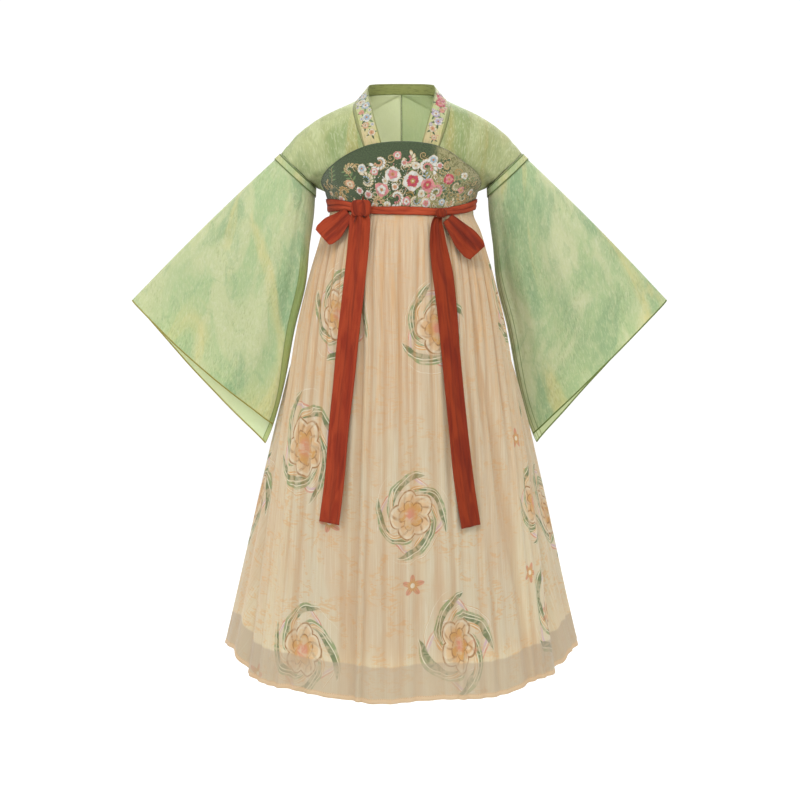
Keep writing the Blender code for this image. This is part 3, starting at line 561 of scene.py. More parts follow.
@dataclass(frozen=True)
class CloudGauze(Finish):
    """Fine gauze with a soft clouded wash: pale streaks, deeper patches and fine slanting strokes."""

    ground: Colour = dye(182, 200, 150)
    pale: Colour = dye(210, 214, 168)
    deep: Colour = dye(142, 172, 128)
    warm: Colour = dye(218, 204, 140)
    edge: Colour = dye(98, 116, 52)
    chalk: Colour = dye(222, 224, 190)
    along: float = 0.62  # how much less a cloud changes along the cloth than across it
    place: float = 0.0  # where on the printed length the piece was cut
    warmth: float = 0.6
    patches: float = 0.75
    edge_lines: tuple[float, ...] = ()  # places up from the foot with a thin dark line
    foot_line: Colour | None = None  # a coloured edge at the foot
    doubled: float = 0.0  # half the width of the doubled strip round the middle, 0 for none
    doubled_to: float = 9.0  # how far up from the foot the doubled strip goes
    doubled_dye: Colour = dye(98, 116, 52)
    doubled_share: float = 0.42
    pressed: tuple[float, ...] = ()  # thin pressed lines along it, by their place from the middle
    painted_inner_light: Colour = dye(214, 226, 184)  # painted light: a paler colour on the inner face of a back layer, standing in for light through the sheer cloth into the shade inside
    painted_inner_light_share: float = 0.8
    seam: float = 0.0  # the width of the seam's shade at the inner edge, 0 for none
    rims: bool = False  # whether the cloth's pressed edges are lined

    def made(self, name: str) -> bpy.types.Material:
        """The material, under the given name."""
        r = Recipe(name)
        flat = r.flat()
        moved = r.node("VectorMath", {0: flat, 1: (self.place, self.place * 0.7, 0)}, operation="ADD").outputs[0]
        clouds = r.streaks(moved, (1, self.along, 0.3), 8, 7, 0.7)
        patches = r.streaks(moved, (1, self.along, -0.5), 5.5, 6, 0.5)
        warm = r.streaks(moved, (1, self.along * 0.6, 0.7), 8, 7, 0.8)
        dabs = r.streaks(moved, (1, 0.8, 0.9), 38, 6, 0.8)
        veins = r.streaks(moved, (1, 0.8, -0.5), 26, 5, 1.2)
        strokes = r.streaks(moved, (1, 0.35, 0.8), 330, 3, 0.6)
        counter = r.streaks(moved, (1, 0.35, -0.6), 300, 3, 0.6)
        r.colour = r.mix(r.step(clouds, 0.44, 0.6), self.ground, self.pale)
        r.coat(self.deep, r.step(patches, 0.49, 0.64), self.patches)
        r.coat(self.warm, r.step(warm, 0.53, 0.68), self.warmth)
        r.coat(self.pale, r.step(dabs, 0.5, 0.68), 0.32)
        r.coat(self.deep, r.step(dabs, 0.47, 0.3), 0.3)
        r.coat(self.chalk, r.times(r.step(r.off(veins, 0.5), 0.022, 0), r.step(clouds, 0.45, 0.6)), 0.22)
        hatched = r.step(r.noise(moved, 12, 3), 0.46, 0.62)
        r.coat(self.edge, r.times(r.step(strokes, 0.5, 0.66), r.line(hatched, 0.16, 0.06)))
        r.coat(self.chalk, r.step(counter, 0.5, 0.68), 0.24)
        across, up = r.parts(flat)
        # Painted light: where a back layer's inner face looks out, a paler colour stands in for light through the
        # sheer cloth into the shade inside.
        facing = r.node("SeparateXYZ", {"Vector": r.node("NewGeometry", {}).outputs["Normal"]}).outputs["Y"]
        inside = r.times(r.step(facing, 0.05, -0.15), r.mark("back"))
        r.coat(self.painted_inner_light, inside, self.painted_inner_light_share)
        if self.doubled:
            low = r.step(up, self.doubled_to + 0.03, self.doubled_to - 0.05)
            strip = r.step(r.off(across), self.doubled + 1.5 * MM, self.doubled - 0.5 * MM)
            r.coat(self.doubled_dye, r.times(strip, low), self.doubled_share)
            for place in (self.doubled, *self.pressed):
                off = r.off(r.sum("SUBTRACT", r.off(across), place))
                line = r.times(r.step(off, 1.6 * MM, 0.6 * MM), low)
                r.coat(self.edge, line, 0.6)
        for line in self.edge_lines:
            r.coat(self.edge, r.step(r.off(up, line), 2.0 * MM, 1.0 * MM), 0.85)
        if self.foot_line:
            r.coat(self.foot_line, r.step(up, 3.6 * MM, 2.4 * MM))
        if self.seam:
            r.coat(self.edge, r.step(across, self.seam + 0.6 * MM, self.seam - 0.6 * MM), 0.7)
        if self.rims:
            r.coat(self.edge, r.step(r.mark("rim"), 2.0 * MM, 0.8 * MM), 0.6)
        crinkle = r.streaks(moved, (1, 0.5), 160, 4, 0.8)
        height = r.line(strokes, 0.35, r.line(r.weave(flat, 1.1 * MM), 0.1, crinkle))
        return r.done(r.line(dabs, 0.2, 0.6), height, 0.6 * MM, 0.06, 0.2, 0.6)


@dataclass(frozen=True)
class StripSilk(Finish):
    """The collar's silk: olive round the neck, paler down the fronts, with a bound edge."""

    olive: Colour = dye(197, 205, 122)
    pale: Colour = dye(192, 196, 148)
    peach: Colour = dye(208, 182, 134)
    bound: Colour = dye(124, 130, 70)
    front_from: float = 0.085  # along the strip from the centre back, where the paler front begins
    front_foot: float = 0.26
    half_width: float = 0.019

    def made(self, name: str) -> bpy.types.Material:
        """The material, under the given name."""
        r = Recipe(name)
        flat = r.flat()
        along, across = r.parts(flat)
        along = r.off(along)
        clouds = r.streaks(flat, (0.5, 1), 34, 4, 0.7)
        r.colour = r.mix(r.step(along, self.front_from, self.front_from + 0.03), self.olive, self.pale)
        r.coat(self.peach, r.step(along, self.front_foot - 0.05, self.front_foot), 0.7)
        r.coat(self.olive, r.step(clouds, 0.4, 0.65), 0.4)
        strokes = r.streaks(flat, (0.2, 1, 0.5), 300, 2)
        r.coat(self.bound, r.step(strokes, 0.52, 0.66), 0.3)
        off_edge = r.off(across, self.half_width)
        edge = r.step(off_edge, self.half_width - 3.2 * MM, self.half_width - 2.2 * MM)
        r.coat(self.bound, edge, 0.7)
        height = r.sum("ADD", r.noise(flat, 220, 2), r.times(r.weave(flat, 0.9 * MM), 0.25))
        return r.done(r.line(clouds, 0.25, 0.45), height, 0.5 * MM, 0.15, 0.3)


@dataclass(frozen=True)
class Brocade(Finish):
    """The chest bands' ground: dark green twill that turns to beige figured cloth at one side."""

    green: Colour = dye(66, 88, 54)
    shade: Colour = dye(48, 66, 42)
    beige: Colour = dye(164, 158, 112)
    fleck: Colour = dye(120, 118, 70)
    turns_at: float = 0.055  # across, from dark to beige
    slant: float = -0.35

    def made(self, name: str) -> bpy.types.Material:
        """The material, under the given name."""
        r = Recipe(name)
        flat = r.flat()
        across, up = r.parts(flat)
        drift = r.noise(flat, 22, 4, 0.8)
        side = r.sum("ADD", across, r.times(r.sum("SUBTRACT", drift, 0.5), 0.09))
        side = r.line(up, self.slant, side)
        change = r.step(side, self.turns_at - 0.05, self.turns_at - 0.015)
        twill = r.lines(r.sum("ADD", across, up), 1.3 * MM)
        fleck = r.noise(flat, 420, 2)
        dark = r.mix(r.step(fleck, 0.42, 0.62), self.shade, self.green)
        light = r.mix(r.step(r.noise(flat, 150, 3, 1.2), 0.45, 0.6), self.beige, self.fleck)
        r.colour = r.mix(change, dark, light)
        r.coat(self.beige, r.step(twill, 0, 1), 0.16)
        height = r.sum("ADD", r.times(twill, 0.35), fleck)
        return r.done(r.line(drift, 0.2, 0.5), height, 0.5 * MM, 0.2, 0.25)


@dataclass(frozen=True)
class PrintedGauze(Finish):
    """Crinkled gauze with soft apricot streaks, a scattered print of rosettes, painted shade in its fold valleys, and
    a sheer hem.
    """

    cream: Colour = dye(212, 197, 167)
    blush: Colour = dye(208, 178, 144)
    apricot: Colour = dye(216, 167, 110)
    # The apricot of the fine thread streaks, and the painted shade in the valleys of the folds.
    fold: Colour = dye(188, 138, 86)
    # The greyer unlined band above the hem: partly the single layer's own thinner colour, partly painted shade of the
    # skirt's dim inside seen through it.
    sheer: Colour = dye(173, 157, 138)
    hem: Colour = dye(216, 182, 146)
    ochre: Colour = dye(204, 150, 78)
    sage: Colour = dye(134, 152, 104)
    moss: Colour = dye(88, 110, 68)
    rose: Colour = dye(210, 132, 108)
    lilac: Colour = dye(206, 176, 184)
    chalk: Colour = dye(230, 222, 198)
    brown: Colour = dye(150, 104, 56)
    place: tuple[float, float] = (0.0, 0.0)  # where the piece was cut from the printed cloth
    rosettes: float = 0.275  # from one rosette to the next, across
    radius: float = 0.076
    stretch: float = 0.78  # a rosette's width against its height
    sprigs: float = 0.21
    sheer_above: float = 0.073  # the lining ends this far above the hem
    length: float = 0.98
    printed: bool = True

    def spot(self, r: Recipe, flat: Any, pitch: float, uneven: float) -> tuple[Any, Any, Any]:
        """A net of spots.

        Args:
            r: The recipe.
            flat: The place on the cloth.
            pitch: From one spot to the next.
            uneven: How far the net is from even.

        Returns:
            The distance from the nearest spot, the angle round it, and three chances of its own.
        """
        net = {"Vector": flat, "Scale": 1 / pitch, "Randomness": uneven}
        cell = r.node("TexVoronoi", net, voronoi_dimensions="2D")
        local = r.node("VectorMath", {0: flat, 1: cell.outputs["Position"]}, operation="SUBTRACT").outputs[0]
        chance = r.node("SeparateColor", {"Color": cell.outputs["Color"]}).outputs
        x, y = r.parts(local)
        far = r.sum("SQRT", r.sum("ADD", r.times(x, x), r.times(y, y)))
        return far, r.line(chance[0], 6.28, r.sum("ARCTAN2", y, x)), chance

    def rosette(self, r: Recipe, flat: Any) -> tuple[Any, Any]:
        """A large rosette in each cell of an uneven net: a bloom inside curling leaves, with buds.

        Args:
            r: The recipe.
            flat: The place on the cloth.

        Returns:
            The rosettes' colour, and where they are.
        """
        drawn = r.wander(r.scaled(flat, 1, self.stretch), 15, 0.016)
        far, angle, chance = self.spot(r, drawn, self.rosettes, 0.5)
        size = r.line(chance[1], 0.3 * self.radius, 0.8 * self.radius)
        far = r.sum("DIVIDE", far, size)

        def spokes(count: float, swirl: float, start: float = 0) -> tuple[Any, Any]:
            """How far each place is from the middle of its spoke, with its side, and the spoke's number."""
            turned = r.line(angle, count / (2 * math.pi), r.line(far, swirl, start))
            return r.line(r.sum("FRACT", turned), 2, -1), r.sum("FLOOR", turned)

        def crescents(count: float, swirl: float, start: float, first: float, last: float,
                      full: float) -> tuple[Any, Any]:
            """Leaves that curl round the bloom: where they are, and the side within each."""
            side, _ = spokes(count, swirl, start)
            reach = r.sum("SINE", r.times(r.sum("SUBTRACT", far, first), math.pi / (last - first)))
            reach = r.times(reach, full)
            inside = r.step(r.sum("SUBTRACT", reach, r.off(side)), 0, 0.07)
            ends = r.times(r.step(far, first, first + 0.03), r.step(far, last, last - 0.03))
            return r.times(inside, ends), side

        halo = r.step(far, 1.25, 0.7)
        mist = r.times(halo, 0.3)
        colour, mask = r.mix(0.6, self.cream, self.chalk), mist
        layers = (
            (3, 2.3, 0.2, 0.70, 1.28, 0.13, self.ochre, self.brown),
            (4, -2.2, 0.1, 0.62, 1.10, 0.30, self.lilac, self.rose),
            (4, 1.9, 0, 0.50, 1.16, 0.62, self.sage, self.moss),
            (4, 2.3, 0.5, 0.52, 0.96, 0.34, self.sage, self.moss),
            (5, 2, 0.3, 0.50, 0.86, 0.26, self.apricot, self.ochre),
        )
        for count, swirl, start, first, last, full, light, dark in layers:
            where, side = crescents(count, swirl, start, first, last, full)
            tint = r.mix(r.step(side, 0.12, -0.22), light, dark)
            tint = r.mix(r.step(r.off(r.sum("ADD", side, 0.02)), 0.07, 0.02), tint, self.chalk)
            colour, mask = r.mix(where, colour, tint), r.sum("MAXIMUM", mask, where)
        petal, _ = spokes(5, 0.5)
        inner, _ = spokes(5, -0.9, 0.5)
        line, _ = spokes(11, 2.6)
        brim = r.line(r.times(petal, petal), -0.14, 0.62)
        past = r.sum("SUBTRACT", far, brim)
        heart = r.sum("SUBTRACT", far, r.line(r.times(inner, inner), -0.14, 0.38))
        petals = r.mix(r.times(r.step(far, 0.25, 0.65), 0.5), self.apricot, self.chalk)
        petals = r.mix(r.times(r.step(r.off(line), 0.35, 0.1), 0.75), petals, self.brown)
        brimmed = r.step(r.off(r.sum("ADD", past, 0.05)), 0.045, 0.02)
        petals = r.mix(r.times(brimmed, 0.5), petals, self.chalk)
        petals = r.mix(r.step(r.off(past), 0.03, 0.012), petals, self.brown)
        petals = r.mix(r.step(heart, 0.02, -0.02), petals, r.mix(r.step(far, 0.06, 0.26), self.rose, self.ochre))
        petals = r.mix(r.step(r.off(heart), 0.025, 0.01), petals, self.brown)
        in_flower = r.step(past, 0.04, 0.015)
        colour, mask = r.mix(in_flower, colour, petals), r.sum("MAXIMUM", mask, in_flower)
        wear = r.noise(flat, 70, 4, 0.5)
        return colour, r.times(mask, r.line(r.step(wear, 0.34, 0.6), 0.5, 0.34))

    def sprig(self, r: Recipe, flat: Any) -> tuple[Any, Any]:
        """Small five-petalled flowers in some cells of a finer net.

        Args:
            r: The recipe.
            flat: The place on the cloth.

        Returns:
            The flowers' colour, and where they are.
        """
        far, angle, chance = self.spot(r, flat, self.sprigs, 0.8)
        far = r.sum("DIVIDE", far, 0.3 * self.radius)
        lobes = r.sum("COSINE", r.times(angle, 5))
        brim = r.line(lobes, 0.26, 0.72)
        on_petal = r.step(r.sum("SUBTRACT", far, brim), 0.05, -0.05)
        tint = r.mix(r.step(far, 0.25, 0.8), self.ochre, self.rose)
        line = r.sum("COSINE", r.times(angle, 15))
        tint = r.mix(r.times(r.step(line, 0.3, 0.9), 0.5), tint, self.brown)
        tint = r.mix(r.step(far, 0.26, 0.18), tint, self.chalk)
        some = r.sum("GREATER_THAN", chance[2], 0.72)
        return tint, r.times(on_petal, r.times(some, 0.75))

    def made(self, name: str) -> bpy.types.Material:
        """The material, under the given name."""
        r = Recipe(name)
        flat = r.flat()
        across, up = r.parts(flat)
        moved = r.node("VectorMath", {0: flat, 1: (*self.place, 0)}, operation="ADD").outputs[0]
        broad = r.streaks(moved, (1, 0.3), 11, 4, 0.6)
        streaks = r.streaks(moved, (1, 0.07), 60, 4, 0.5)
        threads = r.streaks(moved, (1, 0.02), 460, 2)
        bars = r.streaks(moved, (0.4, 1), 120, 6, 1.2)
        blots = r.streaks(moved, (1, 0.7), 20, 6, 1)
        high = r.step(up, 0.3 * self.length, 0.95 * self.length)
        r.colour = r.mix(r.times(r.step(broad, 0.36, 0.66), 0.5), self.cream, self.blush)
        r.coat(self.blush, high, 0.75)
        wash = r.times(r.step(blots, 0.44, 0.6), r.step(bars, 0.5, 0.6))
        wash = r.times(wash, r.line(high, -0.22, 0.5))
        r.coat(self.apricot, wash)
        r.coat(self.apricot, r.times(r.step(streaks, 0.52, 0.68), r.line(high, 0.34, 0.10)))
        r.coat(self.fold, r.times(r.step(threads, 0.54, 0.7), r.line(high, 0.14, 0.1)))
        r.coat(self.chalk, r.step(threads, 0.46, 0.3), 0.22)
        if self.printed:
            tint, mask = self.sprig(r, moved)
            r.coat(tint, mask)
            tint, mask = self.rosette(r, moved)
            r.coat(tint, mask)
        # Painted shade: the valleys of the folds darkened towards the fold colour, more so higher up.
        deep = r.step(r.mark("fold"), -0.25, -1)
        r.coat(self.fold, r.times(deep, r.line(high, 0.22, 0.26)))
        # Below the lining's end: the greyer colour, partly the single layer's own and partly painted shade of the
        # skirt's inside seen through it.
        wavy = r.line(r.streaks(flat, (1, 0), 7), 0.012, up)
        below = r.step(wavy, self.sheer_above + 9.5 * MM, self.sheer_above + 4.5 * MM)
        r.coat(self.sheer, below, 0.62)
        in_hem = r.step(up, 10.5 * MM, 9.5 * MM)
        r.coat(self.hem, in_hem, 0.6)
        stitch = r.step(r.off(up, 9.0 * MM), 0.7 * MM, 0.3 * MM)
        stitch = r.times(stitch, r.step(r.lines(across, 3.6 * MM), -0.2, 0.2))
        r.coat(self.brown, stitch, 0.5)
        crinkle = r.streaks(moved, (1, 0.1), 260, 3, 0.5)
        height = r.line(threads, 0.4, crinkle)
        height = r.line(r.weave(flat, 1.2 * MM), 0.1, height)
        return r.done(r.line(streaks, 0.2, 0.62), height, 0.6 * MM, 0.05, 0.15, 0.5)


@dataclass(frozen=True)
class CrepeRibbon(Finish):
    """Rust crepe ribbon with a fine crossed grain, lengthwise streaks, rubbed edges, and painted shade and highlight
    on its folds.
    """

    rust: Colour = dye(150, 52, 26)
    bright: Colour = dye(178, 74, 42)
    dark: Colour = dye(104, 30, 14)
    half_width: float = 0.020
    lengthwise: bool = True  # whether the ribbon runs up and down on its flat map
    folded: float = 0.3  # how strong the painted shade in its fold valleys is; the painted highlight on its ridges is half as strong

    def made(self, name: str) -> bpy.types.Material:
        """The material, under the given name."""
        r = Recipe(name)
        flat = r.flat()
        across, _ = r.parts(flat)
        if not self.lengthwise:
            flat = r.scaled(flat, 1, 1, math.pi / 2)
        streaks = r.streaks(flat, (1, 0.06), 210, 3, 0.3)
        broad = r.streaks(flat, (1, 0.25), 40, 3, 0.5)
        grain = r.noise(flat, 900, 2)
        bars = r.streaks(flat, (0.1, 1), 420, 2)
        r.colour = r.mix(r.step(broad, 0.35, 0.65), self.rust, self.bright)
        r.coat(self.dark, r.step(streaks, 0.5, 0.7), 0.4)
        r.coat(self.bright, r.step(streaks, 0.46, 0.3), 0.35)
        r.coat(self.dark, r.step(grain, 0.5, 0.7), 0.25)
        # Painted shade in the fold valleys, and painted highlight on the ridges.
        r.coat(self.dark, r.step(r.mark("fold"), 0, -0.9), self.folded)
        r.coat(self.bright, r.step(r.mark("fold"), 0.2, 1), 0.5 * self.folded)
        edge = r.step(r.off(across), self.half_width - 2.0 * MM, self.half_width - 0.8 * MM)
        r.coat(self.bright, edge, 0.5 if self.lengthwise else 0)
        height = r.sum("ADD", r.times(grain, 0.4), r.times(bars, 0.5))
        height = r.sum("ADD", height, streaks)
        return r.done(r.line(broad, 0.2, 0.62), height, 0.6 * MM, 0.04, 0.15)


@dataclass(frozen=True)
class SatinThread(Finish):
    """Silk thread in satin stitch, dyed as each shape's own colour."""

    def made(self, name: str) -> bpy.types.Material:
        """The material, under the given name."""
        r = Recipe(name)
        colour = r.node("Attribute", {}, attribute_name="thread").outputs["Color"]
        flat = r.flat()
        across, _ = r.parts(flat)
        strands = r.lines(across, 0.55 * MM)
        uneven = r.streaks(flat, (1.0, 0.15), 1500.0, 2.0)
        dark = r.times(r.step(uneven, 0.5, 0.75), 0.35)
        r.colour = r.mix(dark, colour, dye(96, 84, 60), "MULTIPLY")
        height = r.sum("ADD", r.times(strands, 0.5), uneven)
        return r.done(r.line(uneven, 0.25, 0.38), height, 0.25 * MM, 0.15, 0.45)


@dataclass(frozen=True)
class FloorPaint(Finish):
    """The studio's pale floor, with a faint mottle."""

    def made(self, name: str) -> bpy.types.Material:
        """The material, under the given name."""
        r = Recipe(name)
        place = r.node("TexCoord", {}).outputs["Object"]
        mottle = r.noise(place, 3.0, 4.0)
        r.colour = r.mix(mottle, (0.97, 0.97, 0.97, 1.0), (0.95, 0.95, 0.95, 1.0))
        return r.done(0.9, mottle, 0.2 * MM, 0.0, 0.1)


# ---- embroidery


class Thread(Enum):
    """Embroidery silks."""

    WHITE = dye(228, 226, 216)
    CREAM = dye(226, 215, 184)
    BLUE = dye(168, 190, 202)
    PINK = dye(222, 140, 142)
    ROSE = dye(198, 66, 84)
    PEACH = dye(224, 170, 132)
    TAN = dye(202, 174, 122)
    GOLD = dye(188, 148, 78)
    LEAF = dye(110, 136, 82)
    MOSS = dye(74, 96, 56)
    LILAC = dye(190, 176, 202)


def sewing(text: str) -> list[list[Any]]:
    """The rows of a sewing plan, with commas between them.

    Args:
        text: In each row a flat place in millimetres, across and up, then numbers and silks by name.

    Returns:
        The rows, with the places in metres.
    """
    rows = [[Thread[word] if word.isalpha() else float(word) for word in row.split()] for row in text.split(",")]
    return [[(across / 1000, up / 1000), *rest] for across, up, *rest in rows]


def heading(angle: float) -> Array:
    """The flat direction at an angle, in degrees from across."""
    turn = math.radians(angle)
    return np.array([math.cos(turn), math.sin(turn)])


def stem(root: Sequence[float], angle: float, length: float, bend: float, share: Any) -> Array:
    """Flat places along a curved stem.

    Args:
        root: Where it starts.
        angle: The way it sets out, in degrees from across.
        length: From root to tip.
        bend: How far its tip swings to one side, as a share of its length.
        share: The places, as shares of its length.

    Returns:
        The places.
    """
    ahead = heading(angle)
    aside = np.array([-ahead[1], ahead[0]])
    share = np.asarray(share, float)[..., None]
    return np.array(root) + share * length * ahead + bend * length * share**2 * aside


@dataclass
class Embroidery:
    """Raised satin stitch on a sheet: petals, leaves, scrolls and knots, gathered into one piece.

    Places are flat: across from the sheet's middle, and up from its foot.
    """

    name: str
    ground: Sheet
    points: list[Array] = field(default_factory=list)
    silks: list[Colour] = field(default_factory=list)
    flats: list[Array] = field(default_factory=list)
    faces: list[tuple[int, ...]] = field(default_factory=list)
    count: int = 0
    layer: float = 0.0  # how far the next shape lies on the ones before
    sunk: float = 0.15 * MM  # how far a shape's edges go into the cloth

    def place(self, spots: Array, lift: Array) -> Array:
        """Points over the ground's outer face.

        Args:
            spots: Flat places.
            lift: Each one's height over the cloth.

        Returns:
            The points.
        """
        flat = self.ground.flat
        rows = flat.shape[0]
        middle = flat[rows // 2, :, 0]
        column = np.interp(spots[:, 0], middle, np.arange(len(middle)))
        whole = np.interp(column, np.arange(flat.shape[1]), flat[0, :, 1])
        up = np.clip(spots[:, 1] / whole, 0.012, 0.988)
        return self.ground.at((1 - up) * (rows - 1), column, lift)

    def add(self, spots: Array, lift: Array, faces: Iterable[Sequence[int]], silk: Colour, strand: Array) -> None:
        """Adds one stitched shape.

        Args:
            spots: The flat places of its points.
            lift: Their heights.
            faces: Its faces.
            silk: Its colour.
            strand: Each point's place across the thread's run and along it.
        """
        self.points.append(self.place(spots, lift + self.layer))
        self.silks += [silk] * len(spots)
        self.flats.append(strand)
        self.faces += [tuple(i + self.count for i in face) for face in faces]
        self.count += len(spots)

    def strip(self, spine: Array, side: Array, ridge: Array, along: Array, width: float, silk: Colour) -> None:
        """Adds a strip of two flanks that rise from the cloth to a ridge.

        Args:
            spine: The flat places of the ridge.
            side: The way from each of them to the strip's left edge.
            ridge: The ridge's heights.
            along: Each place's distance along the thread.
            width: Of the strip.
            silk: Its colour.
        """
        n = len(spine)
        spots = np.concatenate([spine + side, spine, spine - side])
        edge = np.full(n, -self.sunk)
        faces = [(k + i, k + n + i, k + n + i + 1, k + i + 1) for k in (0, n) for i in range(n - 1)]
        strand = np.stack([np.tile(along, 3), np.repeat([-1.0, 0.0, 1.0], n) * width], axis=1)
        self.add(spots, np.concatenate([edge, ridge, edge]), faces, silk, strand)

    def petal(self, root: Sequence[float], angle: float, length: float, width: float, silk: Colour,
              height: float = 0.9 * MM, tip: float = 0.6, bend: float = 0.0) -> None:
        """A petal or leaf: two flanks that rise to a ridge.

        Args:
            root: The flat place of its root.
            angle: The way it points, in degrees from across.
            length: From root to tip.
            width: At its widest.
            silk: Its colour.
            height: Of its ridge.
            tip: Where it is widest, as a share of its length.
            bend: How far its tip swings to one side, as a share of its length.
        """
        run = np.linspace(0, 1, 6)
        power = math.log(0.5) / math.log(tip)
        half = width / 2 * np.sin(np.pi * np.clip(run**power, 0.0, 1.0)) ** 0.75
        ahead = heading(angle)
        side = half[:, None] * np.array([-ahead[1], ahead[0]])
        ridge = height * np.sin(np.pi * run**0.8) ** 0.5
        self.strip(stem(root, angle, length, bend, run), side, ridge, run * length, width, silk)

    def cord(self, path: Array, width: float, silk: Colour, height: float = 0.7 * MM) -> None:
        """A couched cord along a path.

        Args:
            path: Its flat places.
            width: Of the cord.
            silk: Its colour.
            height: Of the cord.
        """
        run = np.gradient(path, axis=0)
        run /= np.maximum(np.linalg.norm(run, axis=1, keepdims=True), 1e-9)
        aside = np.stack([-run[:, 1], run[:, 0]], axis=1) * width / 2
        along = np.concatenate([[0], np.cumsum(np.linalg.norm(np.diff(path, axis=0), axis=1))])
        self.strip(path, aside, np.full(len(path), height), along, width, silk)

    def knot(self, at: Sequence[float], radius: float, silk: Colour, height: float = 1.0 * MM) -> None:
        """A small round knot of thread.

        Args:
            at: Its flat place.
            radius: Of the knot.
            silk: Its colour.
            height: Of the knot.
        """
        turn = np.radians(np.arange(8) * 45.0)
        around = np.stack([np.cos(turn), np.sin(turn)], axis=1)
        spots = np.concatenate([np.array(at) + radius * around, np.array(at) + 0.6 * radius * around, [at]])
        lift = np.concatenate([np.full(8, -self.sunk), np.full(8, 0.75 * height), [height]])
        faces = [(i, (i + 1) % 8, 8 + (i + 1) % 8, 8 + i) for i in range(8)]
        faces += [(8 + i, 8 + (i + 1) % 8, 16) for i in range(8)]
        self.add(spots, lift, faces, silk, spots - np.array(at))

    def blossom(self, at: Sequence[float], radius: float, outer: Thread, inner: Thread, heart: Thread = Thread.GOLD,
                petals: int = 6, turn: float = 0.0) -> None:
        """A full blossom: an outline, two rings of petals and a heart of knots.

        Args:
            at: Its flat place.
            radius: Of its outer petals.
            outer: The silk of the outer ring.
            inner: The silk of the inner ring.
            heart: The silk of the heart.
            petals: In each ring.
            turn: Degrees that it is turned by.
        """
        step = 360.0 / petals
        at = np.array(at)
        outline = Thread.TAN
        rings = ((1.12, outline, 0, 0), (1, outer, 0, 0.3), (0.74, outline, 0.5, 0.5), (0.66, inner, 0.5, 0.75))
        for share, silk, shift, level in rings:
            self.layer = level * MM
            for i in range(2 * petals):  # each petal has two lobes
                lobe = 1 if i % 2 else -1
                angle = turn + (i // 2 + shift) * step + lobe * 0.17 * step
                length = radius * share * (1.0 - 0.07 * ((i * 5) % 3))
                width = 2.0 * radius * share * math.sin(math.radians(step / 2)) * 0.8
                shade = 1.0 - 0.10 * ((i * 7) % 3)
                tone = (silk.value[0] * shade, silk.value[1] * shade, silk.value[2] * shade, 1.0)
                self.petal(at, angle, length, width, tone, 0.6 * MM, 0.68)
        self.layer = 1.2 * MM
        for i in range(5):
            self.knot(at + 0.16 * radius * heading(turn + 72.0 * i), 0.11 * radius, heart.value, 0.5 * MM)
        eye = Thread.CREAM if inner is Thread.ROSE else Thread.ROSE
        self.knot(at, 0.12 * radius, eye.value, 0.8 * MM)
        self.layer = 0.0

    def scroll(self, at: Sequence[float], radius: float, turns: float, start: float, silk: Thread,
               width: float = 1.7 * MM, way: int = 1) -> None:
        """A cord that winds in to a curl.

        Args:
            at: The flat place of the curl's eye.
            radius: Where the cord starts, from the eye.
            turns: How many times it goes round.
            start: The angle of its outer end, in degrees.
            silk: Its colour.
            width: Of the cord.
            way: 1 or -1, the way that it winds.
        """
        share = np.linspace(0, 1, max(10, int(26 * turns)))
        turn = np.radians(start) + way * 2 * math.pi * turns * share
        far = radius * (1 - 0.86 * share**0.85)
        path = np.array(at) + far[:, None] * np.stack([np.cos(turn), np.sin(turn)], axis=1)
        self.cord(path, width, silk.value)

    def plume(self, at: Sequence[float], radius: float, start: float, lobes: int, size: float, silk: Thread,
              inner: Thread, way: int = 1) -> None:
        """A curled leaf of many lobes, each with a tan outline.

        Args:
            at: The flat place of the curl's eye.
            radius: Where the leaf starts, from the eye.
            start: The angle of its outer end, in degrees.
            lobes: How many.
            size: Of the largest lobe.
            silk: The lobes' colour.
            inner: The colour of the small lobes inside the curl.
            way: 1 or -1, the way that it winds.
        """
        for i in range(lobes):
            share = (i + 0.5) / lobes
            turn = start + way * 300.0 * share
            far = radius * (1 - 0.72 * share)
            root = np.array(at) + 0.92 * far * heading(turn)
            length = size * (1.0 - 0.45 * share)
            for grow, tone, level in ((1.22, Thread.TAN, 0.1), (1.0, silk, 0.45)):
                self.layer = level * MM
                wide = length * 0.62 * grow
                self.petal(root, turn - way * 35, length * grow, wide, tone.value, 0.6 * MM, 0.62, -0.2 * way)
            self.layer = 0.5 * MM
            self.petal(root, turn + 180 + way * 25, length * 0.5, length * 0.4, inner.value, 0.5 * MM, 0.6)
        self.layer = 0.6 * MM
        self.scroll(at, radius, 300.0 / 360.0, start, Thread.TAN, 1.5 * MM, way)
        self.layer = 0.0

    def spray(self, at: Sequence[float], angle: float, length: float, leaves: int, silk: Thread, bend: float) -> None:
        """A curved stem with leaves on both sides.

        Args:
            at: The flat place of the stem's root.
            angle: The way it sets out, in degrees from across.
            length: Of the stem.
            leaves: How many.
            silk: The leaves' colour.
            bend: How far the stem swings to one side, as a share of its length.
        """
        self.cord(stem(at, angle, length, bend, np.linspace(0, 1, 12)), 1.1 * MM, Thread.TAN.value)
        for i in range(leaves):
            share = (i + 1) / (leaves + 0.3)
            root = stem(at, angle, length, bend, share)
            side = 1 if i % 2 else -1
            lean = angle + math.degrees(math.atan(2 * bend * share)) + side * 48
            long = length * (0.42 - 0.12 * share)
            self.petal(root, lean, long, length * 0.15, silk.value, 0.6 * MM, 0.5, 0.12 * side)

    def seeds(self, seed: int, count: int, low: Sequence[float], high: Sequence[float], silks: str) -> None:
        """Small knots strewn between the shapes.

        Args:
            seed: Of the draw.
            count: How many.
            low: The flat place of one corner.
            high: The flat place of the other.
            silks: Their colours by name, in turn.
        """
        draw = np.random.default_rng(seed)
        tones = [Thread[name] for name in silks.split()]
        for i in range(count):
            spot = draw.uniform(low, high)
            self.knot(spot, draw.uniform(0.7, 1.3) * MM, tones[i % len(tones)].value, 0.55 * MM)

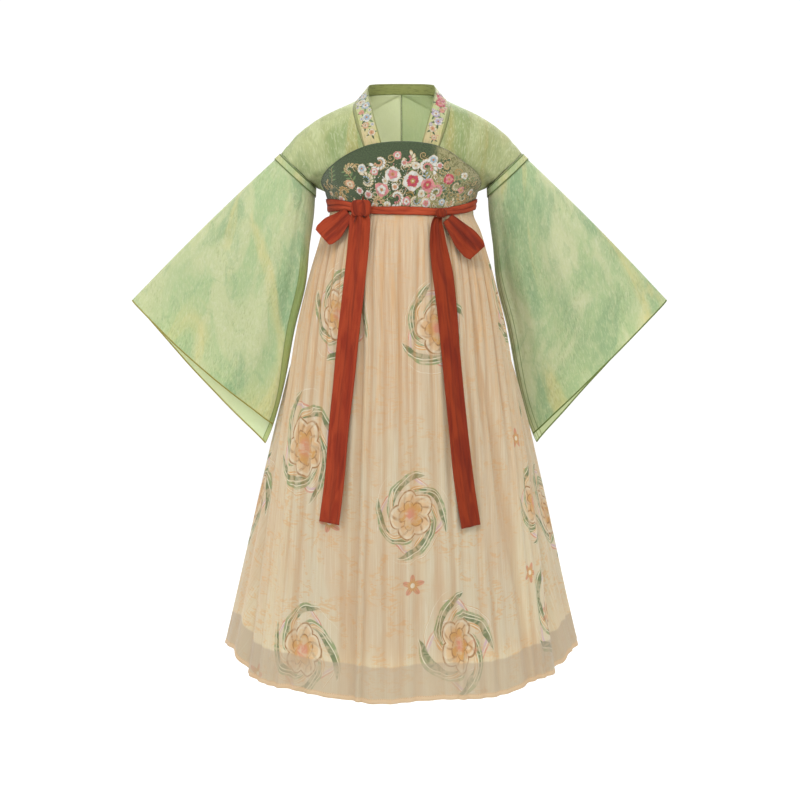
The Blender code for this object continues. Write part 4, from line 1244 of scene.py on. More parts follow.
    def sew(self) -> bpy.types.Object:
        """Makes the embroidery's piece.


        Returns:
            The piece.
        """
        mesh = bpy.data.meshes.new(self.name)
        mesh.from_pydata(np.concatenate(self.points).tolist(), [], self.faces)
        order = np.empty(len(mesh.loops), np.int32)
        mesh.loops.foreach_get("vertex_index", order)
        layer = mesh.uv_layers.new(name="cloth")
        layer.data.foreach_set("uv", np.concatenate(self.flats)[order].astype(np.float32).ravel())
        silk = mesh.color_attributes.new("thread", "FLOAT_COLOR", "POINT")
        silk.data.foreach_set("color", np.array(self.silks, np.float32).ravel())
        mesh.shade_smooth()
        mesh.materials.append(SatinThread().made(f"{self.name}_finish"))
        piece = bpy.data.objects.new(self.name, mesh)
        bpy.context.scene.collection.objects.link(piece)
        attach(piece, "root")
        log.info("%s: %d stitched points", self.name, self.count)
        return piece


# ---- the figure


@dataclass(frozen=True)
class Figure:
    """The general figure that the chest fits, as rings: half its width, and its depth each way."""

    rings: Columns = listed("z half_width front back", """
        -.42 .15 .11 .095, -.3 .148 .114 .098, -.25 .1475 .116 .1, -.225 .15 .1165 .102, -.2 .158 .117 .104,
        -.175 .172 .1155 .104, -.14 .174 .111 .102, -.095 .174 .104 .098""")
    square: float = 2.5

    def at(self, angle: Any, z: Any, out: Any) -> Array:
        """Points of the chest's ring by degrees from the front and height, moved out."""
        angle, z, out = np.broadcast_arrays(angle, z, out)
        sizes = [read(self.rings, part, z) + out for part in ("half_width", "front", "back")]
        x, y = ring(angle, *sizes, self.square)
        return np.stack([x, y, z], axis=-1)


# ---- blouse


@dataclass
class Collar:
    """One folded strip, down both fronts and round the back neck, where it stands up."""

    edges: Columns = listed("in_x in_y in_z out_x out_y out_z", """
        .004 -.1105 -.42 .039 -.1085 -.42, .005 -.115 -.3 .04 -.113 -.3, .008 -.1175 -.235 .043 -.1155 -.235,
        .018 -.1175 -.19 .053 -.1145 -.192, .03 -.113 -.143 .066 -.107 -.15, .044 -.102 -.092 .08 -.093 -.103,
        .057 -.08 -.044 .096 -.068 -.055, .066 -.05 -.008 .1025 -.036 -.024, .0715 -.012 .018 .101 .002 -.01,
        .069 .023 .031 .086 .038 .006, .044 .046 .036 .052 .061 .014, 0 .056 .0375 0 .071 .016""")
    wall: float = 1.8 * MM
    rows: int = 11
    columns: int = 150  # on each side of the centre back
    crown: float = 0.35 * MM  # the folded strip is fuller in its middle
    pucker: float = 0.12 * MM
    pucker_pitch: float = 0.009

    def edge(self, which: str, steps: Any) -> Array:
        """Points along the in or out edge on the wearer's left, from the blouse's hem to the back neck."""
        place = np.arange(len(self.edges["in_x"]), dtype=float)
        return np.stack([smooth(place, self.edges[f"{which}_{axis}"], steps) for axis in "xyz"], axis=-1)

    def sheet(self) -> Sheet:
        """The strip, with small puckers along its stitching."""
        last = len(self.edges["in_x"]) - 1
        steps = np.linspace(0, last, self.columns)
        inner, outer = self.edge("in", steps), self.edge("out", steps)
        share = np.linspace(0, 1, self.rows)[:, None, None]
        half = outer + share * (inner - outer)
        mirrored = half[:, :-1] * np.array([-1.0, 1.0, 1.0])
        grid = np.concatenate([mirrored, half[:, ::-1]], axis=1)
        sheet = Sheet("collar", grid, self.wall, flip=True, cloth=1.2 * MM)
        sheet.lay_flat()
        along = sheet.flat[..., 0]
        across = np.linspace(-1, 1, self.rows)[:, None]
        pucker = self.pucker * np.sin(along * 2 * math.pi / self.pucker_pitch + across * 2) * (1 - across**2)
        return sheet.raised(self.crown * (1 - across**2) * 0.6 + pucker)

    def sprays(self, ground: Sheet) -> bpy.types.Object:
        """The blossoms down both fronts, in satin stitch."""
        sewn = Embroidery("collar_embroidery", ground)
        t = Thread
        # mm along from the centre back, up, radius; outer, inner silk. Less than 0 is the wearer's right.
        plan = sewing("""
            -134 21 8.5 WHITE BLUE, -148 12 6.5 BLUE WHITE, -163 22 9 WHITE CREAM, -181 12 8 BLUE WHITE,
            -196 25 5 PINK PEACH, -214 16 8.5 WHITE BLUE, -232 23 6 PEACH CREAM, -252 14 6.5 CREAM PEACH,
            128 16 5.5 LILAC WHITE, 147 19 10.5 ROSE PINK, 170 18 10 ROSE PINK, 190 25 5.5 PINK PEACH,
            205 13 7.5 LILAC WHITE, 223 22 7.5 WHITE LILAC, 243 14 6.5 CREAM PEACH, 262 22 5 PEACH CREAM""")
        for i, (at, radius, outer, inner) in enumerate(plan):
            radius *= 1.34 * MM
            root = (at[0] + math.copysign(0.003, at[0]), at[1])
            for lean, silk in ((150, t.LEAF), (-40, t.MOSS), (60, t.LEAF), (230, t.MOSS)):
                sewn.petal(root, lean + 31 * i, radius * 1.6, radius * 0.6, silk.value, 0.5 * MM, 0.5, 0.15)
            sewn.blossom(at, radius, outer, inner, petals=5, turn=37.0 * i)
        small = sewing("139 8 PINK, 156 30 PINK, 178 31 PINK, 197 6 LILAC, 214 28 LILAC, 234 8 LILAC")
        for i, (at, outer) in enumerate(small):
            sewn.blossom((-at[0], at[1]), 4.4 * MM, t.WHITE, t.BLUE, petals=5, turn=19.0 * i)
            sewn.blossom(at, 4.4 * MM, outer, t.WHITE, petals=5, turn=43.0 * i)
        sewn.seeds(11, 60, (-0.262, 0.007), (-0.124, 0.031), "WHITE CREAM LEAF BLUE")
        sewn.seeds(12, 60, (0.124, 0.007), (0.262, 0.031), "PINK CREAM LEAF ROSE")
        for side in (-1, 1):
            for share in np.linspace(0.118, 0.268, 34):
                sewn.knot((side * share, 0.0048), 0.75 * MM, t.TAN.value, 0.5 * MM)
                sewn.knot((side * share, 0.0325), 0.75 * MM, t.GOLD.value, 0.5 * MM)
        return sewn.sew()

    def build(self) -> None:
        """Makes the collar."""
        sheet = self.sheet()
        trim = self.sprays(sheet)
        sheet.hang(StripSilk(), Slot.COLLAR, Held.DRAPED, ["blouse_left", "blouse_right"], [trim])


@dataclass
class Armhole:
    """The oval between the shoulder point and the underarm point, on the wearer's left."""

    shoulder: Array = field(default_factory=lambda: np.array([0.260, 0.0, -0.116]))
    underarm: Array = field(default_factory=lambda: np.array([0.186, 0.0, -0.188]))
    half_depth: float = 0.052

    def at(self, turn: Any) -> Array:
        """Points by degrees from the top, the front first."""
        turn = np.radians(turn)
        middle, reach = (self.shoulder + self.underarm) / 2, (self.shoulder - self.underarm) / 2
        points = middle + np.cos(turn)[..., None] * reach
        points[..., 1] -= self.half_depth * np.sin(turn)
        return points


@dataclass
class BlouseHalf:
    """One half of the blouse, cut in one over the shoulder, with a centre-back seam."""

    side: Side
    collar: Collar
    armhole: Armhole
    collar_seam: float = -0.8 * MM
    centre_seam: float = 0.03 * MM
    side_seam: float = 0.21 * MM
    back_neck: int = 11  # the section that starts at the centre of the back neck
    rows: int = 150
    columns: int = 44
    gather_pitch: float = 0.021
    gather_depth: float = 1.6 * MM
    pucker_pitch: float = 0.0075
    shown_from: float = 4.2  # the section below which the fronts lie flat under the bands
    back_from: float = 7.6  # the section past which the wrong side shows through the neck and takes the finish's painted light
    sections: Columns = listed("in_y in_z corner_x corner_y corner_z turn out_x out_z", """
        nan nan .134 -.106 -.42 nan .15 -.42, nan nan .132 -.11 -.3 nan .148 -.3,
        nan nan .133 -.112 -.235 nan .1485 -.23, nan nan .139 -.111 -.195 nan .158 -.203,
        nan nan .143 -.104 -.165 180 nan nan, nan nan .153 -.092 -.122 122 nan nan,
        nan nan .175 -.078 -.08 75 nan nan, nan nan .19 -.044 -.052 35 nan nan, nan nan .201 .004 -.035 0 nan nan,
        nan nan .19 .05 -.043 -35 nan nan, nan nan .172 .082 -.045 -75 nan nan, nan nan .158 .098 -.055 -122 nan nan,
        .086 -.05 .15 .102 -.11 -180 nan nan, .096 -.13 .141 .101 -.17 nan .158 -.203,
        .1 -.21 .134 .0985 -.22 nan .1485 -.23, .097 -.29 .132 .0945 -.3 nan .148 -.3,
        .094 -.42 .134 .0915 -.42 nan .15 -.42""")
    # Across from the inner edge to the outer, and down by section from the front hem over the shoulder.
    creases: Creases = Creases.of("""
        .95 .55 4.3 7.2 .05 -1.6, .85 .42 4.6 7.8 .04 1.2, .98 .7 5 8.4 .045 -1.4, .78 .25 4.9 7.4 .045 -1.1,
        .6 .2 5.4 8 .05 1, .93 .8 5.6 9.2 .035 1.1, .35 .12 5 8.4 .05 -.9, .88 .6 8.8 11.6 .045 -1.5,
        .75 .42 9 12.4 .045 1.2, .6 .25 8.4 11.8 .05 -1.2, .95 .78 9.6 12.6 .04 1.1, .3 .2 11.2 15.4 .05 -1.2,
        .52 .46 11.4 15.6 .045 -1.2, .72 .66 11.8 15.2 .045 -1.1""")

    def edges(self) -> tuple[Array, Array, Array]:
        """The inner edge, corner and outer edge of every section."""
        count = len(self.sections["turn"])
        inner, corner, outer = np.zeros((3, count, 3))
        for i in range(count):
            row = {name: values[i] for name, values in self.sections.items()}
            if math.isnan(row["in_y"]):
                place = np.array(float(i))
                edge, other = self.collar.edge("out", place), self.collar.edge("in", place)
                away = edge - other
                inner[i] = edge + away / np.linalg.norm(away) * self.collar_seam
                inner[i, 0] = max(inner[i, 0], self.centre_seam)
            else:
                inner[i] = (self.centre_seam, row["in_y"], row["in_z"])
            corner[i] = (row["corner_x"], row["corner_y"], row["corner_z"])
            if math.isnan(row["turn"]):
                outer[i] = (row["out_x"], 0.0, row["out_z"])
            else:
                outer[i] = self.armhole.at(np.array(row["turn"]))
            if math.isnan(row["turn"]) or abs(row["turn"]) == 180:
                outer[i, 1] = math.copysign(self.side_seam, i - self.back_neck + 1)
        return inner, corner, outer

    def sheet(self) -> Sheet:
        """The cloth, with its gathers below the back neck and soft folds to the armpit."""
        last = len(self.sections["turn"]) - 1
        place = np.arange(last + 1, dtype=float)
        steps = np.linspace(0, last, self.rows)
        inner, corner, outer = (
            np.stack([smooth(place, edge[:, axis], steps) for axis in range(3)], axis=-1) for edge in self.edges()
        )
        across = np.linspace(0, 1, self.columns)[None, :, None]
        grid = (1 - across) ** 2 * inner[:, None] + 2 * across * (1 - across) * corner[:, None]
        grid = grid + across**2 * outer[:, None]
        below_neck = ease((steps - self.back_neck) / 1.5)
        above_hem = ease((last - steps) / 2)
        back = (below_neck * above_hem)[:, None]
        across = across[..., 0]
        wave = np.sin(grid[..., 0] / self.gather_pitch * 2 * math.pi) * ease(across * 4) * ease((1 - across) * 3)
        grid[..., 1] += self.gather_depth * back * wave
        sign = self.side.value
        grid[..., 0] *= sign
        sheet = Sheet(f"blouse_{self.side.word}", grid, 1.2 * MM, flip=sign > 0)
        sheet.lay_flat(0.0)
        sheet.marks["back"] = np.clip(steps - self.back_from, 0, 1)[:, None] + 0 * grid[..., 0]
        seams = ease(across * 9) * ease((1 - across) * 9)
        shown = ease((steps - self.shown_from) / 0.8)[:, None]
        small = Creases.strewn(5 + sign, 46, (0.05, 0.95), (4.5, 14.5), 1.8, 0.022, 0.5 * MM)
        relief = self.creases.relief(across, steps[:, None]) + small.relief(across, steps[:, None])
        fine = np.sin(grid[..., 0] / self.pucker_pitch * 2 * math.pi + 1.3 * np.sin(grid[..., 2] * 60))
        fine = fine * 0.35 * MM * back
        return sheet.raised((relief * 0.8 + fine) * seams * shown)

    def build(self) -> None:
        """Makes the half."""
        right = self.side is Side.RIGHT
        gauze = CloudGauze(
            ground=dye(163, 171, 118) if right else dye(153, 160, 108),
            pale=dye(184, 191, 140) if right else dye(172, 179, 128),
            deep=dye(134, 154, 100), warm=dye(178, 163, 96),
            along=0.7, place=2.0 + self.side.value, warmth=0.7, patches=0.7, seam=2.0 * MM,
            # Painted light on the inner face of the back, paler on the wearer's right.
            painted_inner_light=dye(222, 230, 194) if right else dye(184, 202, 160), painted_inner_light_share=0.78,
        )
        self.sheet().hang(gauze, Slot.BLOUSE, Held.DRAPED, ["collar"])


@dataclass
class Sleeve:
    """A wide sleeve, cut in one piece and closed along its lower edge, and the band over its join."""

    side: Side
    armhole: Armhole
    cuff_top: Array
    swing: float  # the lower edge lies before or behind the skirt
    short: float  # how far the front layer stops before the back one
    reach: float  # how much longer it hangs, the one behind more than the one before
    bow: float  # how far the cuff bows out at its middle
    creases: Creases
    reach_from: float = -0.300
    top_rise: float = 0.006
    cuff_half_depth: float = 0.030
    stations: int = 116
    columns: int = 128
    band: tuple[float, float] = (0.003, 0.042)  # the first and last share along that the join band covers
    band_cord: float = 0.2 * MM
    band_pucker: float = 0.12 * MM
    under: Columns = listed("along x z", """
        0 .186 -.188, .09 .1885 -.236, .23 .1985 -.314, .35 .205 -.383, .54 .232 -.495, .76 .255 -.612,
        .92 .2815 -.706, 1 .298 -.7465""")
    folds: Columns = listed("start end width depth", """
        150 128 16 .007, 118 92 18 .005, 80 52 18 .004, 205 235 16 .007, 250 275 18 .005, 290 318 18 .004""")

    def points(self, stations: Array, columns: int) -> tuple[Array, Array, Array]:
        """The sleeve as a tube.

        Args:
            stations: Shares from armhole to cuff.
            columns: Points round each ring.

        Returns:
            The points on the wearer's left, each one's degrees from the top, and its share along.
        """
        turn = np.arange(columns) * 360.0 / columns
        down = (1 - np.cos(np.radians(turn))) / 2  # 0 at the top edge, 1 at the lower edge
        front = ease(turn / 30) * ease((187 - turn) / 14)
        along = stations[:, None] * (1 - self.short * front * down)
        top = self.armhole.shoulder + along[..., None] * (self.cuff_top - self.armhole.shoulder)
        top[..., 2] += self.top_rise * np.sin(math.pi * along)
        under = np.stack([smooth(self.under["along"], self.under[axis], along) for axis in ("x", "z")], axis=-1)
        middle = np.array([0.0, self.reach_from])
        under = middle + (under - middle) * (1 + (self.reach - 1) * ease(along * 3))[..., None]
        grid = np.zeros(along.shape + (3,))
        grid[..., 0] = top[..., 0] + down * (under[..., 0] - top[..., 0])
        grid[..., 2] = top[..., 2] + down * (under[..., 1] - top[..., 2])
        bowed = self.bow * np.sin(math.pi * down) * along**4
        grid[..., 0] += bowed
        grid[..., 2] -= bowed
        deep = self.armhole.half_depth
        depth = deep + ease(along * 1.15) * (self.cuff_half_depth - deep)
        grid[..., 1] = -depth * np.sin(np.radians(turn))
        grid[..., 1] += self.swing * down**1.5 * ease(along * 3)
        facing = np.where(turn < 180, -1.0, 1.0)
        for start, end, width, dip in zip(*self.folds.values()):
            line = start + (end - start) * along
            grid[..., 1] -= facing * dip * bell(turn - line, width) * ease(along * 4) * np.minimum(1, along * 2)
        return grid, turn + 0 * along, along

    def sheet(self) -> Sheet:
        """The sleeve's cloth, gathered a little at its join."""
        stations = np.linspace(0, 1, self.stations) ** 1.1
        grid, turn, along = self.points(stations, self.columns)
        reach = self.cuff_top - self.armhole.shoulder
        grid += 0.5 * MM * reach / np.linalg.norm(reach) * (stations[:, None, None] == 0)
        sign = self.side.value
        grid[..., 0] *= sign
        sheet = Sheet(f"sleeve_{self.side.word}", grid, 1.2 * MM, closed=True, flip=sign > 0)
        sheet.lay_open()
        # The back layer, whose inner face takes the finish's painted light.
        sheet.marks["back"] = (turn > 180) * 1.0
        off_edges = ease(np.sin(np.radians(turn)) ** 2 * 6)
        gathers = np.sin(np.radians(turn) * 34 + 2.2 * np.sin(np.radians(turn) * 5))
        gathers = gathers * 0.75 * MM * ease(along * 14 - 0.6) * ease((0.26 - along) * 6)
        small = Creases.strewn(17 + sign, 54, (8, 352), (0.02, 0.9), 0.34, 5.0, 0.9 * MM)
        relief = self.creases.relief(turn, along) + small.relief(turn, along) * ease(along * 8)
        return sheet.raised((relief + gathers) * off_edges)

    def join_band(self) -> Sheet:
        """The narrow band that covers the join."""
        sign = self.side.value
        stations = np.linspace(*self.band, 9)
        grid, _, _ = self.points(stations, self.columns)
        grid[..., 0] *= sign
        around, _, _ = self.points(np.array([0.0, 0.045]), self.columns)
        around[..., 0] *= sign
        normal = Sheet("", around, 0.0, closed=True, flip=sign > 0).outward()[:1]
        grid = grid - normal * (1.2 * MM + 0.7 * MM)
        sheet = Sheet(f"join_band_{self.side.word}", grid, 1.2 * MM, closed=True, flip=sign > 0)
        sheet.lay_open()
        turn = np.arange(self.columns) * 360.0 / self.columns
        rim = np.linspace(-1, 1, len(stations))[:, None]
        corded = self.band_cord * bell(np.abs(rim) - 0.86, 0.12)
        return sheet.raised(-corded - self.band_pucker * np.sin(np.radians(turn) * 40)[None, :] * (1 - rim**2))

    def build(self) -> None:
        """Makes the sleeve and the band over its join."""
        right = self.side is Side.RIGHT
        gauze = CloudGauze(
            pale=dye(196, 204, 156) if right else dye(202, 208, 162), ground=dye(174, 194, 144),
            place=5.0 - 1.7 * self.side.value, foot_line=dye(150, 140, 66) if right else dye(98, 116, 56),
            doubled=0.034 if right else 0.007, doubled_to=0.33 if right else 0.34,
            doubled_dye=dye(144, 158, 72) if right else dye(98, 116, 52), doubled_share=0.62 if right else 0.42,
            pressed=() if right else (0.014, 0.021, 0.031), rims=True,
        )
        word = self.side.word
        band = self.join_band()
        height = float(band.flat[0, 0, 1])
        trim = band.hang(
            CloudGauze(ground=dye(156, 178, 124), pale=dye(174, 190, 138), place=9.0, patches=0.6,
                       edge=dye(84, 104, 48), edge_lines=(1.3 * MM, height - 1.3 * MM)),
            Slot.BLOUSE, Held.STRETCHED, [f"sleeve_{word}"])
        self.sheet().hang(gauze, Slot.BLOUSE, Held.DRAPED, [f"blouse_{word}"], [trim])


# ---- skirt


@dataclass
class ChestBands:
    """The front band, arched over the chest, and the straight back band that it overlaps."""

    figure: Figure
    wall: float = 1.6 * MM
    front_out: float = 6.0 * MM
    back_out: float = 3.0 * MM
    end: float = 84.0
    back_start: float = 79.0
    top: Columns = listed("angle z", """
        -84 -.211, -77 -.196, -71 -.176, -47 -.14, -27 -.114, -14 -.1015, 0 -.0965, 14 -.101, 27 -.114, 42 -.138,
        56 -.156, 71 -.181, 77 -.198, 84 -.211""")
    foot: Columns = listed("angle z", "0 -.243, 45 -.241, 84 -.229")
    back_top: Columns = listed("angle z", "79 -.2125, 110 -.208, 180 -.203")
    back_foot: Columns = listed("angle z", "79 -.258, 180 -.262")

    def front(self) -> Sheet:
        """The front band, with a rolled edge along its arch."""
        angle = np.linspace(-self.end, self.end, 181)
        top = read(self.top, "z", angle)
        foot = read(self.foot, "z", np.abs(angle))
        share = np.linspace(0, 1, 34)[:, None]
        grid = self.figure.at(angle[None, :], top + share * (foot - top), self.front_out)
        sheet = Sheet("chest_band_front", grid, self.wall, flip=True, cloth=1.1 * MM)
        sheet.lay_flat()
        rise = sheet.flat[..., 1]
        edge = 0.5 * MM * bell(rise[:1] - rise - 1.4 * MM, 1.2 * MM)
        return sheet.raised(edge)

    def back(self) -> Sheet:
        """The back band."""
        angle = np.linspace(self.back_start, 360 - self.back_start, 161)
        top = read(self.back_top, "z", from_front(angle))
        foot = read(self.back_foot, "z", from_front(angle))
        share = np.linspace(0, 1, 14)[:, None]
        grid = self.figure.at(angle[None, :], top + share * (foot - top), self.back_out)
        sheet = Sheet("chest_band_back", grid, self.wall, flip=True, cloth=1.1 * MM)
        sheet.lay_flat()
        return sheet

    def front_embroidery(self, ground: Sheet) -> bpy.types.Object:
        """Blossoms on winding cords: a generic garden of like colours and scale."""
        sewn = Embroidery("chest_embroidery", ground)
        t = Thread
        # mm across, up, radius; turns, start, silk, way
        scrolls = sewing("""
            -118 58 13 1.3 200 TAN 1, -152 36 10 1.2 20 GOLD -1, -92 94 10 1.2 250 TAN -1, -62 36 14 1.4 90 CREAM 1,
            -22 112 12 1.4 190 TAN 1, 20 30 13 1.4 140 GOLD -1, 46 118 10 1.3 -40 TAN -1, 62 24 12 1.3 60 CREAM 1,
            88 84 13 1.5 110 MOSS 1, 114 36 13 1.5 230 MOSS -1, 118 82 10 1.3 10 GOLD 1, 142 54 11 1.4 90 MOSS -1,
            158 26 10 1.3 180 GOLD 1, 176 46 8 1.2 300 MOSS 1, -176 50 8 1.2 120 TAN 1, 198 24 7 1.2 40 TAN -1,
            -4 62 12 1.3 300 CREAM 1, 90 52 9 1.3 0 BLUE -1, -90 22 11 1.4 30 TAN -1, -130 16 9 1.3 150 GOLD 1,
            136 14 9 1.3 0 TAN 1, -36 14 10 1.3 200 MOSS 1, -30 96 9 1.3 40 CREAM 1, 6 94 8 1.2 250 CREAM -1,
            40 80 9 1.3 120 CREAM 1, 0 42 9 1.3 10 CREAM -1, -62 78 9 1.3 300 CREAM 1, 70 72 8 1.2 200 CREAM -1,
            -52 10 8 1.2 90 CREAM 1, 44 12 8 1.3 340 CREAM -1, 76 12 8 1.2 160 CREAM 1, -12 8 7 1.2 20 CREAM -1,
            -112 12 7 1.2 60 TAN 1, 108 8 7 1.2 240 CREAM -1""")
        for at, radius, turns, start, silk, way in scrolls:
            sewn.scroll(at, radius * MM, turns, start, silk, way=way)
            beside = (at[0] + 1.6 * MM, at[1] + 1.2 * MM)
            sewn.scroll(beside, radius * MM * 0.82, turns * 0.8, start + 25, t.GOLD, 1.0 * MM, way)
        # mm across, up; angle, length (mm), leaves, silk, bend
        sprays = sewing("""
            -150 62 70 30 7 LEAF .3, -124 30 150 34 7 MOSS -.3, -100 60 110 34 7 LEAF .25, -70 60 60 36 8 LEAF .3,
            -50 20 20 34 7 LEAF .2, -10 84 130 32 7 MOSS .3, 12 84 60 34 7 LEAF -.3, 30 50 -30 32 7 LEAF .3,
            60 86 20 34 7 MOSS .25, 80 58 -60 34 7 MOSS .2, 108 60 40 32 7 LEAF -.3, 130 34 -20 34 7 MOSS .3,
            150 44 60 26 6 LEAF .25, 170 20 10 26 6 MOSS .3, -166 20 80 26 6 MOSS .2, -30 40 170 30 6 LEAF .2,
            0 16 10 34 7 LEAF .2, 52 56 80 26 6 BLUE .3""")
        for at, angle, length, leaves, silk, bend in sprays:
            sewn.spray(at, angle, length * MM, int(leaves), silk, bend)
        # mm across, up, radius; start, lobes, size (mm), silk, inner silk, way
        plumes = sewing("""
            -46 104 13 200 10 11 WHITE PEACH 1, -74 64 14 120 10 10 CREAM BLUE -1, -12 30 15 250 11 11 WHITE PINK 1,
            12 108 13 60 10 11 CREAM PINK -1, 52 92 16 330 12 12 WHITE PINK 1, 80 40 15 200 11 11 PINK WHITE -1,
            96 94 12 80 10 9 MOSS TAN 1, 120 56 13 300 10 10 MOSS CREAM -1, 146 30 12 160 9 8 GOLD CREAM 1,
            158 60 9 40 9 7 MOSS TAN -1, -108 88 11 30 9 8 TAN CREAM 1, -128 42 12 260 9 9 GOLD TAN -1,
            -158 56 8 100 8 6 TAN MOSS 1, 34 24 14 10 10 10 CREAM BLUE -1, -56 20 11 340 9 9 TAN PEACH 1,
            182 32 8 220 8 6 TAN MOSS 1, 112 18 10 40 9 8 CREAM PEACH -1, -100 20 9 150 8 7 CREAM BLUE 1""")
        for at, radius, start, lobes, size, silk, inner, way in plumes:
            sewn.plume(at, radius * MM, start, int(lobes), size * MM, silk, inner, way)
        # mm across, up, radius; outer, inner silk, petals
        blossoms = sewing("""
            -18 78 17 WHITE PINK 5, 24 64 22 WHITE ROSE 6, -44 46 16 PINK WHITE 5, 56 56 15 PINK ROSE 5,
            66 108 11 WHITE BLUE 5, 100 68 12 ROSE PINK 5, -82 90 10 WHITE BLUE 5, 58 18 11 WHITE PINK 5,
            -110 58 10 PEACH CREAM 5, 132 76 8 WHITE CREAM 5, 12 22 11 PINK WHITE 5, 164 40 8 WHITE PEACH 5,
            -142 26 8 WHITE PINK 5, -34 14 9 WHITE CREAM 5, -8 118 9 PINK WHITE 5, 134 46 8 PINK PEACH 5,
            -76 36 9 WHITE PINK 5, 30 96 9 WHITE CREAM 5, -170 36 6 CREAM PEACH 5, 96 20 8 BLUE WHITE 5,
            -56 84 9 PINK WHITE 5, 46 38 9 WHITE CREAM 5, -14 52 8 WHITE PEACH 5, 80 96 8 WHITE PINK 5,
            -64 12 8 WHITE PEACH 5, 28 8 7 WHITE PINK 5, 74 30 7 WHITE CREAM 5, -94 44 8 WHITE PINK 5,
            6 102 7 WHITE PINK 5, -34 64 7 WHITE CREAM 5""")
        for i, (at, radius, outer, inner, petals) in enumerate(blossoms):
            sewn.blossom(at, radius * MM, outer, inner, petals=int(petals), turn=23.0 * i)
        sewn.seeds(31, 420, (-0.08, 0.006), (0.10, 0.10), "WHITE TAN PINK CREAM WHITE")
        sewn.seeds(32, 170, (0.07, 0.012), (0.20, 0.08), "TAN MOSS CREAM GOLD")
        sewn.seeds(33, 70, (-0.18, 0.012), (-0.06, 0.06), "TAN LEAF CREAM")
        arch = ground.flat[0]
        path = np.stack([arch[:, 0], arch[:, 1] - 1.6 * MM], axis=1)[4:-4]
        sewn.cord(path, 1.6 * MM, t.MOSS.value, 0.6 * MM)
        return sewn.sew()

    def back_embroidery(self, ground: Sheet) -> bpy.types.Object:
        """A running scroll with small flowers round the back band."""
        sewn = Embroidery("back_band_embroidery", ground)
        t = Thread
        reach = float(ground.flat[5, -1, 0]) - 0.012
        for i, across in enumerate(np.arange(-reach, reach, 0.034)):
            way = 1 if i % 2 else -1
            sewn.scroll((across, 0.026 + 0.004 * way), 12 * MM, 1.3, 180 if way > 0 else 0, t.TAN, 1.4 * MM, way)
            sewn.spray((across + 0.012, 0.024), 60 * way, 20 * MM, 5, t.LEAF if way > 0 else t.MOSS, 0.3)
            outer, inner = ((t.WHITE, t.PINK), (t.PEACH, t.CREAM), (t.PINK, t.WHITE), (t.CREAM, t.BLUE))[i % 4]
            sewn.blossom((across + 0.017, 0.026 - 0.005 * way), 6.5 * MM, outer, inner, petals=5, turn=31.0 * i)
        sewn.seeds(41, 150, (-reach, 0.006), (reach, 0.046), "TAN CREAM MOSS")
        return sewn.sew()

    def build(self) -> None:
        """Makes both bands."""
        front, back = self.front(), self.back()
        front.hang(Brocade(), Slot.BAND, Held.STRETCHED, ["sash_front"], [self.front_embroidery(front)])
        back.hang(Brocade(turns_at=-9.0), Slot.BAND, Held.STRETCHED, ["sash_back"], [self.back_embroidery(back)])


